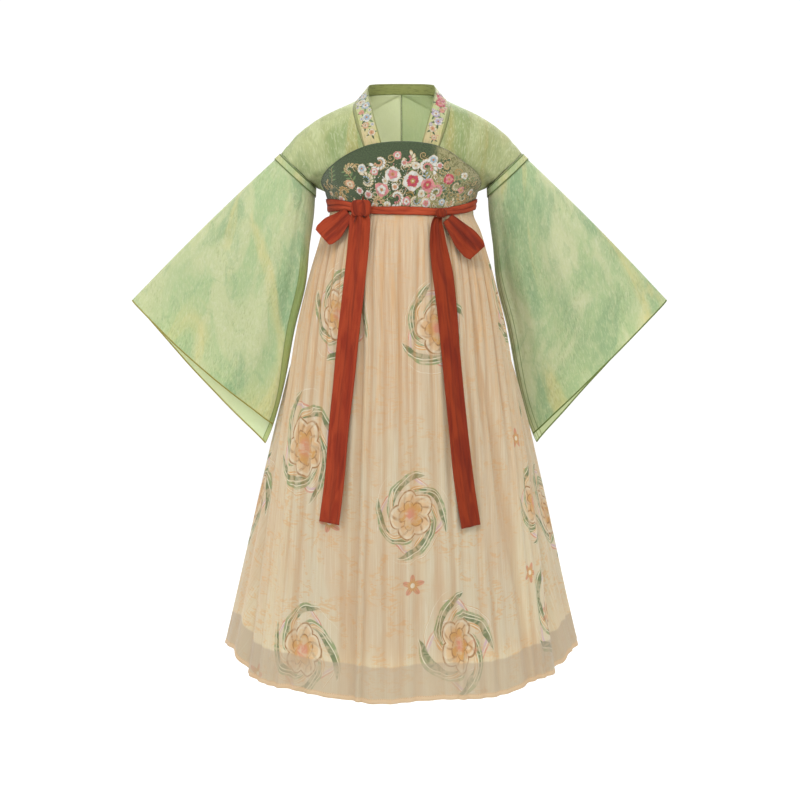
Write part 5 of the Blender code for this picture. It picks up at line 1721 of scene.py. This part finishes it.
@dataclass
class SkirtLayer:
    """One gathered layer of the skirt, from its band's foot to its hem."""

    name: str
    rings: Columns
    seam: Columns
    top_angles: tuple[float, float]
    hem_angles: tuple[float, float]
    folds: int
    finish: Finish
    slot: Slot
    rests_on: tuple[str, ...]
    long_folds: Columns = listed("top hem width depth", "")
    creases: Creases = Creases.of("0 0 0 1 1 0")
    lift: float = 0.0
    hem_waves: int = 9
    depth: float = 1.0
    wall: float = 1.2 * MM
    rows: int = 96
    per_fold: int = 13
    top_uneven: float = 0.25
    hem_uneven: float = 0.45
    hem_wave: float = 0.003
    band_seam: float = 0.8 * MM
    cut_top: float = 1.55  # the flat cloth at the seam, against the gathered width there
    hem: Columns = listed("angle z", """
        0 -1.236, 30 -1.231, 60 -1.212, 70 -1.193, 90 -1.19, 130 -1.201, 180 -1.21""")
    gathers: Columns = listed(*GATHERS)

    def fold_angles(self, first: float, last: float, uneven: float) -> tuple[Array, Array, Array, Array]:
        """Where each column lies, with folds of uneven width.

        Args:
            first: The angle of the first column.
            last: The angle of the last.
            uneven: How much the folds differ in width.

        Returns:
            The columns' angles, their folds' depths, the wave of the folds, and the columns in folds.
        """
        number = np.arange(self.folds)
        width = 1 + uneven * (0.6 * np.sin(2.1 * number + 1) + 0.4 * np.sin(5.3 * number))
        edges = np.concatenate([[0], np.cumsum(width)]) / width.sum()
        column = np.arange(self.folds * self.per_fold + 1) / self.per_fold
        share = np.interp(column, np.arange(self.folds + 1), edges)
        depth = np.interp(column, number + 0.5, 0.75 + 0.25 * np.sin(1.7 * number + 0.6) * np.cos(0.9 * number))
        return first + share * (last - first), depth, -np.cos(2 * math.pi * column), column

    def calm(self, drop: Array) -> Array:
        """The share of the gathers' depth that every fold keeps at a drop."""
        return smooth(np.array([0.0, 0.08, 0.2, 0.4, 0.7, 1.0]), np.array([1.0, 0.85, 0.55, 0.3, 0.16, 0.12]), drop)

    def standing(self, column: Array) -> Array:
        """The share that a fold adds to that, so that some of them stand down to the hem."""
        number = np.arange(self.folds)
        strength = np.clip(0.42 + 0.5 * np.sin(2.4 * number + 0.7) + 0.35 * np.sin(5.1 * number), 0, 1) ** 1.5
        return 0.5 * np.interp(column, number + 0.5, strength)

    def sheet(self) -> Sheet:
        """The layer's cloth: gathers, long folds, small creases and a narrow hem."""
        top_line, depth, wave, column = self.fold_angles(*self.top_angles, self.top_uneven)
        hem_line, _, _, _ = self.fold_angles(*self.hem_angles, self.hem_uneven)
        fall = np.linspace(0, 1, self.rows) ** 1.2 * 0.985
        share = np.concatenate([fall, [0.9890, 0.9905, 0.9925, 0.996, 1.0]])[:, None]
        angle = top_line + ease(share**0.8) * (hem_line - top_line)
        top = read(self.seam, "z", from_front(angle)) - self.band_seam
        hem = read(self.hem, "z", from_front(angle)) + self.lift
        hem = hem + self.hem_wave * np.sin(np.radians(angle) * self.hem_waves)
        z = top + share * (hem - top)
        drop = top - z
        main = self.depth * read(self.gathers, "depth", drop) * depth * wave
        main = main * (self.calm(drop) + (1 - self.calm(drop)) * self.standing(column))
        out = main
        for start, end, width, dip in zip(*self.long_folds.values()):
            line = start + (end - start) * share
            out = out - 0.8 * dip * bell(angle - line, width) * ease(share * 1.6)
        # Between the folds: fine gathers below the seam, and second folds that come and go.
        fine = smooth(np.array([0, 0.012, 0.05, 0.13, 0.3, 1.0]), np.array([0, 0.5, 0.9, 0.5, 0.0, 0.0]), drop)
        second = smooth(np.array([0, 0.03, 0.10, 0.3, 0.6, 1.0]), np.array([0, 0.5, 0.9, 0.7, 0.35, 0.15]), drop)
        ripple = np.sin(2 * math.pi * (2.0 * column + 0.35 * np.sin(0.9 * column)) + 3 * drop)
        tight = np.sin(2 * math.pi * (3.0 * column + 0.3 * np.sin(1.7 * column)) + 9 * drop)
        swell = np.sin(column * 0.8 + drop * 5) * 0.5 + 0.5
        small = (fine * tight * (0.4 + 0.6 * swell) + second * ripple * (1 - 0.6 * swell)) * MM * self.depth
        small = small + self.creases.relief(angle, share) * self.depth * 0.85
        out = out + small
        square = 2.0 + 0.5 * ease((z + 0.55) / 0.30)
        sizes = [read(self.rings, part, z) + out for part in ("half_width", "front", "back")]
        x, y = ring(angle, *sizes, square)
        sheet = Sheet(self.name, np.stack([x, y, z], axis=-1), self.wall, flip=True, cloth=0.7 * MM)
        width = sheet.steps(1).sum(axis=1)
        top_width = self.cut_top * width[0]
        flat_width = top_width + share[:, 0] * (width[-6] - top_width)
        place = (column / self.folds - 0.5)[None, :] * flat_width[:, None]
        sheet.flat = np.stack([place, hem * 0 + (z - hem) * 1.02], axis=-1)
        # The fold mark: below zero in the valleys, which the finish darkens with painted shade.
        sheet.marks["fold"] = main / 0.004 + small / 0.0022 + (out - main - small) / 0.008
        hem_edge = ease((share - 0.9895) * 400)
        return sheet.raised(0.35 * MM * hem_edge - 0.25 * MM * bell(share - 0.9897, 0.0012))

    def build(self) -> None:
        """Makes the layer."""
        sheet = self.sheet()
        piece = sheet.dress(self.finish, self.slot)


# ---- sash and bows


@dataclass
class Sash:
    """The ribbon round the chest, one piece for each stretch between its knots and side turns."""

    figure: Figure
    front_out: float = 9.6 * MM
    back_out: float = 6.0 * MM
    wall: float = 1.5 * MM
    steps_in: tuple[float, float] = (86.0, 98.0)
    end: float = 0.1
    creases: tuple[float, ...] = (0.0, 1.5 * MM, 0.3 * MM, 1.9 * MM, 0.2 * MM)
    line: Columns = listed("angle z half_height", """
        -180 -.236 .0095, -120 -.231 .01, -84 -.2275 .014, -55 -.228 .012, -38 -.2315 .0095, -25 -.2375 .007,
        -15 -.2395 .007, 0 -.24 .008, 24 -.2425 .0072, 50 -.236 .009, 84 -.2245 .0115, 120 -.23 .01,
        180 -.236 .0095""")
    stretches: dict[str, tuple[float, float, int, float, float]] = field(default_factory=lambda: {
        "sash_front": (-25.0, 24.0, 110, 1.0, 0.0),
        "sash_right_side": (-88.0, -25.0, 90, 0.35, 1.0),
        "sash_left_side": (24.0, 88.0, 90, 0.7, 0.5),
        "sash_back": (88.0, 272.0, 190, 0.5, 0.2),
    })  # first and last angle, columns, and how much it is twisted and parted in two strands
    rows: int = 25

    def middle(self, angle: Any) -> Array:
        """The height of the sash's middle."""
        return read(self.line, "z", angle)

    def out(self, angle: Any) -> Array:
        """How far the sash stands off the figure: more over the front piece than over the back one."""
        behind = ease((from_front(angle) - self.steps_in[0]) / (self.steps_in[1] - self.steps_in[0]))
        return self.front_out + behind * (self.back_out - self.front_out)

    def build(self) -> None:
        """Makes the four stretches."""
        for name, (first, last, columns, twist, parted) in self.stretches.items():
            angle = np.linspace(first + self.end, last - self.end, columns)
            wrapped = (angle + 180) % 360 - 180
            half = read(self.line, "half_height", wrapped)
            across = np.linspace(1, -1, self.rows)[:, None]
            z = self.middle(wrapped) + across * half
            turn = np.radians(angle)
            place = (1 - across) * 2
            crease = smooth(np.arange(5.0), np.array(self.creases), place)
            crease = crease * (0.75 + 0.25 * np.sin(turn * 6 + across * 2))
            # Slanting rolls where the ribbon is twisted on itself.
            slant = np.sin(turn * 13 * twist + across * 2.2 + 0.7 * np.sin(turn * 9))
            fine = np.sin(turn * 7 + across * 9 + 1.2 * np.sin(turn * 4)) * ease((1 - np.abs(across)) * 4)
            crease = crease + twist * 1.3 * MM * np.abs(slant) ** 0.6 + 0.35 * MM * (fine + 0.6)
            crease = 2.7 * MM * np.tanh(crease / (2.7 * MM)) * ease((1 - np.abs(across)) * 6 + 0.1)
            between = bell(across - 0.12 * np.sin(turn * 5), 0.13) * ease((from_front(angle) - 27) / 22)
            crease = crease * (1 - 0.9 * parted * between)
            grid = self.figure.at(angle, z, self.out(angle) + crease)
            sheet = Sheet(name, grid, self.wall, flip=True, cloth=0.9 * MM)
            sheet.lay_flat()
            # The fold mark: below zero where the ribbon lies low, darkened by the finish as painted shade; above zero
            # on the rolls, painted highlight.
            sheet.marks["fold"] = crease / (1.1 * MM) - 1.2
            on = "chest_band_back" if name == "sash_back" else "chest_band_front"
            sheet.hang(CrepeRibbon(lengthwise=False, folded=0.75), Slot.RIBBON, Held.FOLDED, [on])


@dataclass
class Bow:
    """A bow's knot, loop and free end, over the skirt's front."""

    side: Side
    figure: Figure
    sash: Sash
    front_skirt: Columns
    tail: Columns
    tail_lift: float
    loop: tuple[tuple[float, float], tuple[float, float]]  # root (x, z) and tip (x, z)
    knot_angle: float
    knot_seat: float
    knot_rise: float
    knot_size: tuple[float, float, float]
    knot_square: float = 1.0
    knot_round: float = 1.0  # 0 for a wide ribbon folded flat over the sash
    gathers: Columns = listed(*GATHERS)
    wall: float = 1.5 * MM
    seam: float = -0.243
    skirt_wall: float = 1.2 * MM
    lift_ends: float = 0.050
    clear: float = 2.5 * MM
    sway: float = 1.5 * MM
    pinch: Columns = listed("drop depth", """
        0 .003, .05 .0022, .2 .0008, .64 .0012""")
    loop_width: Columns = listed("along width", """
        0 .026, .3 .039, .65 .053, .88 .051, 1 .042""")
    loop_shape: Columns = listed("along upper under", """
        0 .35 -.35, .25 .85 -.7, .5 1 -1, .75 .95 -.95, .93 .7 -.7, 1 .3 -.3""")
    loop_pucker: float = 1.2 * MM
    loop_stops: float = 0.135
    loop_half_open: float = 5.0 * MM
    loop_lean: float = 3.0 * MM

    def over_skirt(self, x: Array, z: Array, out: Any) -> Array:
        """y of the front at a place, over its deepest gathers.

        Args:
            x: Places across.
            z: Heights.
            out: How far out.

        Returns:
            The y there.
        """
        drop = np.maximum(0.0, self.seam - z)
        clear = read(self.gathers, "depth", drop) + self.skirt_wall + out
        below = np.minimum(z, self.seam)
        half_width = read(self.front_skirt, "half_width", below) + clear
        front = read(self.front_skirt, "front", below) + clear
        square = 2.0 + 0.5 * ease((below + 0.55) / 0.30)
        share = np.clip(np.abs(x) / half_width, 0, 0.98)
        return -front * (1 - share**square) ** (1 / square)

    def tail_sheet(self) -> Sheet:
        """The free end: pinched at the knot, then flat with soft lengthwise folds."""
        path = self.tail
        place = np.arange(len(path["x"]), dtype=float)
        steps = np.linspace(0, len(path["x"]) - 1, 150)
        x, z, width = (smooth(place, path[name], steps) for name in ("x", "z", "width"))
        run = np.stack([np.gradient(x), np.gradient(z)], axis=-1)
        run /= np.linalg.norm(run, axis=-1, keepdims=True)
        across = np.linspace(-0.5, 0.5, 23)
        px = x[:, None] - across * width[:, None] * run[:, 1:]
        pz = z[:, None] + across * width[:, None] * run[:, :1]
        drop = z[0] - z[:, None]
        pinch = read(self.pinch, "depth", drop) * np.cos(across * 4 * math.pi)
        sway = self.sway * (1 + np.sin(drop * 14 + self.side.value))
        y = self.over_skirt(px, pz, self.clear + sway) - pinch - self.tail_lift * bell(drop, self.lift_ends)
        sheet = Sheet(f"tail_{self.side.word}", np.stack([px, y, pz], axis=-1), self.wall, cloth=0.8 * MM)
        sheet.lay_flat()
        shift = 0.12 * self.side.value
        folds = Creases.of(f"""
            -.18 {-0.3 + shift} -.05 .26 .05 .9, .12 .05 -.05 .32 .04 -.8, .26 .36 -.04 .22 .04 .9,
            -.02 .2 .1 .5 .05 .6, .3 {0.1 + shift} .24 .64 .055 -.6, -.32 -.12 .3 .6 .05 .6""")
        relief = folds.relief(across[None, :], drop)
        # The fold mark, which the finish reads as painted shade below zero and painted highlight above.
        sheet.marks["fold"] = relief / (0.9 * MM) - pinch / (1.6 * MM)
        return sheet.raised(relief)

    def loop_sheet(self) -> Sheet:
        """The loop: out over the skirt, round its end and back, with a fold down its middle."""
        (root_x, root_z), (tip_x, tip_z) = self.loop
        run = np.array([tip_x - root_x, tip_z - root_z])
        length = float(np.linalg.norm(run))
        run = run / length
        shape = self.loop_shape
        rows = np.concatenate([shape["along"], shape["along"][::-1]])
        heights = np.concatenate([shape["upper"], shape["under"][::-1]])
        place = np.arange(len(rows), dtype=float)
        steps = np.linspace(0, len(rows) - 1, 90)
        travel = np.interp(steps, place, rows)[:, None]
        height = smooth(place, heights, steps)[:, None] * self.loop_half_open
        across = np.linspace(-0.5, 0.5, 27)
        width = read(self.loop_width, "width", travel)
        px = root_x + travel * length * run[0] - across * width * run[1]
        pz = root_z + travel * length * run[1] + across * width * run[0]
        upper = height > 0
        groove = 1.5 * MM * bell(across - 0.04, 0.055) * ease(travel * 5) * ease((1.02 - travel) * 5)
        groove = groove - 0.9 * MM * bell(across + 0.20 - 0.1 * travel, 0.07) * ease((0.9 - travel) * 3)
        groove = groove - 0.8 * MM * bell(across - 0.27 + 0.1 * travel, 0.06) * ease((0.8 - travel) * 3)
        lift = self.loop_lean + self.loop_half_open + height - np.where(upper, groove, 0.0)
        pucker = self.loop_pucker * (1 - travel) * np.cos(across * 4 * math.pi)
        y = self.over_skirt(np.clip(px, -self.loop_stops, self.loop_stops), pz, lift) - pucker
        sheet = Sheet(f"loop_{self.side.word}", np.stack([px, y, pz], axis=-1), self.wall, cloth=0.8 * MM)
        sheet.lay_flat()
        # The fold mark, which the finish reads as painted shade below zero and painted highlight above.
        sheet.marks["fold"] = -groove / (1.2 * MM) - pucker / (1.5 * MM)
        return sheet

    def knot_sheet(self) -> Sheet:
        """The knot: the ribbon wound over the sash, with its folds running up and down."""
        width, depth, height = self.knot_size
        z = float(self.sash.middle(self.knot_angle)) + self.knot_rise
        seat = self.figure.at(self.knot_angle, z, self.sash.front_out + self.knot_seat + depth / 2)
        turns = np.radians(np.linspace(86, -86, 46))[:, None]
        around = np.radians(np.arange(72) * 5.0)[None, :]
        bulge = 1 + 0.07 * np.cos(3 * around) * self.knot_round
        thin = np.cos(turns) ** (0.7 * self.knot_square)
        front = ease(-np.sin(around) * 3)
        power = 0.62 + 0.38 * self.knot_round
        cosine, sine = (np.sign(v) * np.abs(v) ** power for v in (np.cos(around), np.sin(around)))
        wide = cosine * 5.2 + 0.35 * np.sin(turns * 1.4)
        flat_ribs = 1.5 * np.cos(wide * 1.25 + 0.5) + 0.8 * np.cos(wide * 2.9 + 1.4 + 0.6 * turns)
        ribs = np.cos(around * 9 + np.sin(turns * 2) * 0.8) + 0.6 * np.cos(around * 15 + 1.0 + turns)
        ribs = (ribs * self.knot_round + flat_ribs * (1 - self.knot_round)) * front
        x = width / 2 * thin * cosine * bulge
        y = depth / 2 * thin * sine * (1 + 0.07 * ribs * (2 - self.knot_round))
        rise = np.sign(np.sin(turns)) * np.abs(np.sin(turns)) ** 0.8
        z = height / 2 * rise + 0 * around
        tilt = math.radians(self.knot_angle)
        spin = np.array([[math.cos(tilt), -math.sin(tilt), 0], [math.sin(tilt), math.cos(tilt), 0], [0, 0, 1]])
        grid = np.stack([x, y, z], axis=-1) @ spin.T + seat
        # The grid is the knot's outer face, so the cloth lies inside it.
        sheet = Sheet(f"knot_{self.side.word}", grid, -0.9 * MM, closed=True, cloth=0.9 * MM, flip=False)
        girth = sheet.steps(1).sum(axis=1)[:, None]
        part = (np.arange(73) / 72 - 0.5)[None, :]
        tall = np.cumsum(np.concatenate([[0.0], sheet.steps(0).mean(axis=1)]))[::-1][:, None]
        sheet.flat = np.stack([part * girth, tall + 0 * part], axis=-1)
        # The fold mark, which the finish reads as painted shade below zero and painted highlight above.
        sheet.marks["fold"] = ribs + 0 * turns
        return sheet

    def build(self) -> None:
        """Makes the bow's three pieces."""
        word = self.side.word
        right = self.side is Side.RIGHT
        rust, bright, dark = (
            (dye(138, 42, 15), dye(160, 60, 28), dye(96, 26, 9)) if right
            else (dye(124, 36, 8), dye(145, 52, 18), dye(86, 22, 6))
        )
        ribbon = CrepeRibbon(rust, bright, dark)
        self.tail_sheet().hang(ribbon, Slot.RIBBON, Held.HUNG, [f"knot_{word}", "skirt_front"])
        folded = CrepeRibbon(rust, bright, dark, 0.024, folded=0.55)
        self.loop_sheet().hang(folded, Slot.RIBBON, Held.FOLDED, [f"knot_{word}"])
        wound = CrepeRibbon(rust, bright, dark, 0.2, folded=0.55)
        self.knot_sheet().hang(wound, Slot.RIBBON, Held.FOLDED, ["sash_front"])


# ---- the whole


@dataclass
class Robe:
    """The whole garment."""

    figure: Figure = field(default_factory=Figure)
    collar: Collar = field(default_factory=Collar)
    armhole: Armhole = field(default_factory=Armhole)
    front_rings: Columns = listed("z half_width front back", """
        -1.236 .384 .317 .317, -1 .341 .276 .276, -.74 .2865 .226 .226, -.6 .255 .199 .199, -.495 .232 .18 .18,
        -.366 .1955 .154 .154, -.3227 .1815 .1435 .1435, -.28 .1685 .1325 .1325, -.252 .156 .1235 .1235,
        -.243 .1545 .1225 .1225, -.225 .1563 .1228 .1228""")
    front_lining_rings: Columns = listed("z half_width front back", """
        -1.155 .35 .276 .276, -1 .318 .249 .249, -.74 .264 .203 .203, -.495 .207 .161 .161, -.366 .1815 .14 .14,
        -.3227 .168 .1325 .1325, -.28 .157 .1245 .1245, -.243 .151 .1195 .1195, -.225 .1528 .12 .12""")
    back_rings: Columns = listed("z half_width front back", """
        -1.236 .403 .238 .318, -1 .346 .205 .272, -.74 .285 .164 .214, -.6 .249 .143 .185, -.495 .2165 .13 .165,
        -.366 .179 .121 .139, -.3 .1605 .118 .12, -.256 .1517 .118 .1047""")
    back_lining_rings: Columns = listed("z half_width front back", """
        -1.155 .356 .138 .274, -1 .32 .13 .243, -.74 .26 .12 .19, -.495 .1965 .116 .149, -.366 .165 .114 .127,
        -.3 .1535 .114 .109, -.256 .1498 .115 .1025""")

    def blouse(self) -> None:
        """Makes the collar, both halves and both sleeves."""
        self.collar.build()
        for side in Side:
            BlouseHalf(side, self.collar, self.armhole).build()
        # Round from the top edge in degrees, front first, and along from the join to the cuff.
        Sleeve(
            Side.RIGHT, self.armhole, np.array([0.589, 0.0, -0.432]), swing=-0.045, short=0.085, reach=0.992,
            bow=0.0075, creases=Creases.of("""
                30 62 .03 .6 6 2.4, 48 80 .02 .75 6 -2.6, 66 104 .04 .85 7 2.2, 95 128 .05 .95 7 -2.4,
                120 146 .02 .7 6 2.2, 140 158 .1 1.05 5 -2.2, 20 36 .25 .95 6 1.8, 60 68 .55 1.05 6 -2,
                330 300 .03 .65 6 2.4, 310 276 .02 .8 7 -2.4, 285 252 .04 .9 7 2.2, 262 230 .05 .98 7 -2.4,
                240 214 .02 .75 6 2.2, 222 202 .1 1.05 5 -2"""),
        ).build()
        Sleeve(
            Side.LEFT, self.armhole, np.array([0.580, 0.0, -0.432]), swing=0.045, short=0.040, reach=1.014,
            bow=0.0, creases=Creases.of("""
                36 70 .03 .55 6 2.2, 54 92 .02 .8 6.5 -2.6, 76 118 .04 .9 7 2.4, 104 140 .05 1 6.5 -2.6,
                128 156 .02 .85 6 2.4, 146 166 .1 1.05 5 -2.2, 24 44 .3 1.02 6 1.8, 328 302 .03 .6 6 2.2,
                306 270 .02 .85 7 -2.4, 282 248 .04 .95 7 2.2, 258 226 .05 .9 7 -2.4, 236 210 .02 .8 6 2.2"""),
        ).build()

    def skirt(self) -> None:
        """Makes the chest bands, both outer layers and both linings."""
        bands = ChestBands(self.figure)
        bands.build()
        # Angles at the seam and at the hem, shares of the drop, width in degrees and depth outward.
        SkirtLayer(
            "skirt_front", self.front_rings, bands.foot, top_angles=(-84, 84), hem_angles=(-60, 60), folds=22,
            finish=PrintedGauze(), slot=Slot.SKIRT, rests_on=("chest_band_front",),
            long_folds=table("top hem width depth", """
                -52 -38 5 .008, -21 -16 4 .011, 3 4 5 .007, 17 13 4 .006, 40 47 4.5 .012"""),
            hem=table("angle z", "0 -1.236, 30 -1.232, 52 -1.224, 60 -1.22, 70 -1.22, 180 -1.22"),
            creases=Creases.of("""
                -64 -50 .02 .62 1.1 -1.6, -58 -42 .3 1.05 1.2 1.6, -44 -33 .05 .8 1 -1.7, -36 -27 .22 1.05 1.2 1.5,
                -29 -20 .02 .48 .9 -1.6, -25 -18 .4 1.05 1.1 -2, -14 -9 .06 .58 .9 1.5, -9 -5 .12 1.04 1 -1.8,
                -3 -1 .02 .35 .8 -1.5, 2 4 .05 .72 .8 -2, 8 9 .3 1.05 1 1.5, 13 11 .02 .66 .9 -1.7,
                21 17 .35 1.05 1.1 -1.8, 27 24 .05 .55 .9 1.6, 33 32 .08 1.04 1.1 -1.9, 42 45 .02 .95 1.1 -2,
                52 44 .3 1.05 1.2 1.6, 60 50 .05 .75 1.1 -1.7, 70 54 .15 1.02 1.2 1.5, -72 -55 .08 .95 1.2 -1.5"""),
        ).build()
        SkirtLayer(
            "skirt_back", self.back_rings, bands.back_foot, top_angles=(79, 281), hem_angles=(46, 314), folds=26,
            finish=PrintedGauze(place=(3.37, 1.21)), slot=Slot.SKIRT, rests_on=("chest_band_back",),
            long_folds=table("top hem width depth", """
                118 126 5 .013, 146 150 4 .01, 171 167 5 .014, 204 209 4.5 .01, 236 229 5 .013"""),
            creases=Creases.of("""
                96 84 .02 .7 1.6 -1.6, 106 98 .25 1.05 1.8 1.6, 115 112 .05 .8 1.6 -1.8, 126 128 .3 1.05 1.7 -1.8,
                134 136 .02 .6 1.4 1.6, 142 144 .1 1.04 1.6 -1.9, 153 155 .35 1.05 1.6 1.6, 163 162 .02 .75 1.4 -1.8,
                176 176 .05 1.02 1.6 -1.8, 186 187 .3 1.05 1.6 1.6, 195 198 .02 .66 1.4 -1.8,
                207 208 .12 1.05 1.6 -1.9, 217 219 .04 .58 1.4 1.6, 226 228 .25 1.05 1.7 -1.8,
                240 246 .03 .85 1.6 -1.7, 254 262 .2 1.04 1.8 1.6, 266 276 .02 .72 1.6 -1.6"""),
            per_fold=12, rows=88,
        ).build()
        plain = PrintedGauze(
            dye(216, 192, 150), dye(214, 186, 146), printed=False, sheer_above=-1.0, place=(1.3, 0.2))
        lining = {"finish": plain, "slot": Slot.LINING, "lift": 0.068, "hem_waves": 5, "depth": 0.35,
                  "wall": 1.0 * MM, "per_fold": 12, "rows": 44, "cut_top": 1.25}
        SkirtLayer(
            "lining_front", self.front_lining_rings, bands.foot, top_angles=(-76, 76), hem_angles=(-45, 45), folds=9,
            rests_on=("chest_band_front",), **lining,
        ).build()
        SkirtLayer(
            "lining_back", self.back_lining_rings, bands.back_foot, top_angles=(84, 276), hem_angles=(62, 298),
            folds=10, rests_on=("chest_band_back",), **lining,
        ).build()

    def ribbons(self) -> None:
        """Makes the sash and both bows."""
        sash = Sash(self.figure)
        sash.build()
        Bow(
            Side.RIGHT, self.figure, sash, self.front_rings,
            table("x z width", """
                -.088 -.2454 .034, -.0872 -.264 .044, -.0912 -.3216 .045, -.0988 -.3936 .045, -.1124 -.5143 .045,
                -.1205 -.5978 .044, -.1295 -.6809 .042, -.1384 -.79 .041, -.1494 -.8796 .042"""),
            tail_lift=12.6 * MM, loop=((-0.1110, -0.2450), (-0.1665, -0.2955)), knot_angle=-25.0,
            knot_seat=2.2 * MM, knot_rise=2.5 * MM, knot_size=(0.043, 0.015, 0.033), knot_square=0.5, knot_round=0.0,
        ).build()
        Bow(
            Side.LEFT, self.figure, sash, self.front_rings,
            table("x z width", """
                .0765 -.2536 .016, .0735 -.27 .024, .0757 -.3052 .034, .0869 -.3792 .043, .096 -.4612 .041,
                .1031 -.5429 .039, .1151 -.6688 .039, .1281 -.79 .041, .143 -.8869 .04"""),
            tail_lift=3.0 * MM, loop=((0.0962, -0.2562), (0.1590, -0.3280)), knot_angle=24.0,
            knot_seat=3.3 * MM, knot_rise=-2.5 * MM, knot_size=(0.023, 0.016, 0.018),
        ).build()

    def build(self) -> None:
        """Makes the whole garment."""
        self.blouse()
        self.skirt()
        self.ribbons()


@dataclass
class Studio:
    """A pale floor, soft light from all round and the camera."""

    floor_z: float = -1.92
    floor_radius: float = 14.0
    eye: tuple[float, float, float] = (-0.0033, -3.2, -0.30)
    pitch: float = 6.26  # degrees down
    lens: float = 65.85
    sky: float = 1.07

    def lamp(self, name: str, at: Sequence[float], aim: Sequence[float], size: float, power: float) -> None:
        """Adds a soft square lamp.

        Args:
            name: The lamp's name.
            at: Where it stands.
            aim: What it points at.
            size: Its side.
            power: In watts.
        """
        data = bpy.data.lights.new(name, "AREA")
        data.shape = "SQUARE"
        data.size = size
        data.energy = power
        lamp = bpy.data.objects.new(name, data)
        bpy.context.scene.collection.objects.link(lamp)
        way = np.array(aim, float) - np.array(at, float)
        way /= np.linalg.norm(way)
        lamp.location = at
        lamp.rotation_euler = (math.acos(-way[2]), 0.0, math.atan2(way[1], way[0]) - math.pi / 2)

    def build(self) -> None:
        """Makes the floor, the lights and the camera."""
        scene = bpy.context.scene
        mesh = bpy.data.meshes.new("studio_floor")
        turn = np.radians(np.arange(96) * 3.75)
        rim = np.stack([np.cos(turn), np.sin(turn), 0 * turn], axis=1) * self.floor_radius
        mesh.from_pydata(rim.tolist(), [], [tuple(range(96))])
        mesh.materials.append(FloorPaint().made("studio_floor_paint"))
        floor = bpy.data.objects.new("studio_floor", mesh)
        floor.location = (0.0, 0.0, self.floor_z)
        scene.collection.objects.link(floor)
        world = bpy.data.worlds.new("studio")
        scene.world = world
        world.use_nodes = True
        sky = world.node_tree.nodes["Background"]
        sky.inputs["Color"].default_value = (1.0, 1.0, 1.0, 1.0)
        sky.inputs["Strength"].default_value = self.sky
        self.lamp("key", (-1.9, -3.0, 1.5), (0.0, 0.0, -0.6), 1.6, 42.0)
        self.lamp("fill", (2.6, -2.6, 0.2), (0.0, 0.0, -0.7), 2.2, 9.0)
        self.lamp("top", (0.0, -1.9, 1.7), (0.0, 0.08, -0.1), 0.9, 34.0)
        self.lamp("back", (0.8, 3.4, 1.6), (0.0, 0.0, -0.5), 2.0, 70.0)
        data = bpy.data.cameras.new("camera")
        data.lens = self.lens
        data.sensor_width = 36.0
        camera = bpy.data.objects.new("camera", data)
        camera.location = self.eye
        camera.rotation_euler = (math.radians(90.0 - self.pitch), 0.0, 0.0)
        scene.collection.objects.link(camera)
        scene.camera = camera
        scene.view_settings.view_transform = "Standard"


def main() -> None:
    """Builds the studio and the robe."""
    logging.basicConfig(level=logging.INFO, format="%(message)s")
    Studio().build()
    Robe().build()
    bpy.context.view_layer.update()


if __name__ == "__main__":
    main()
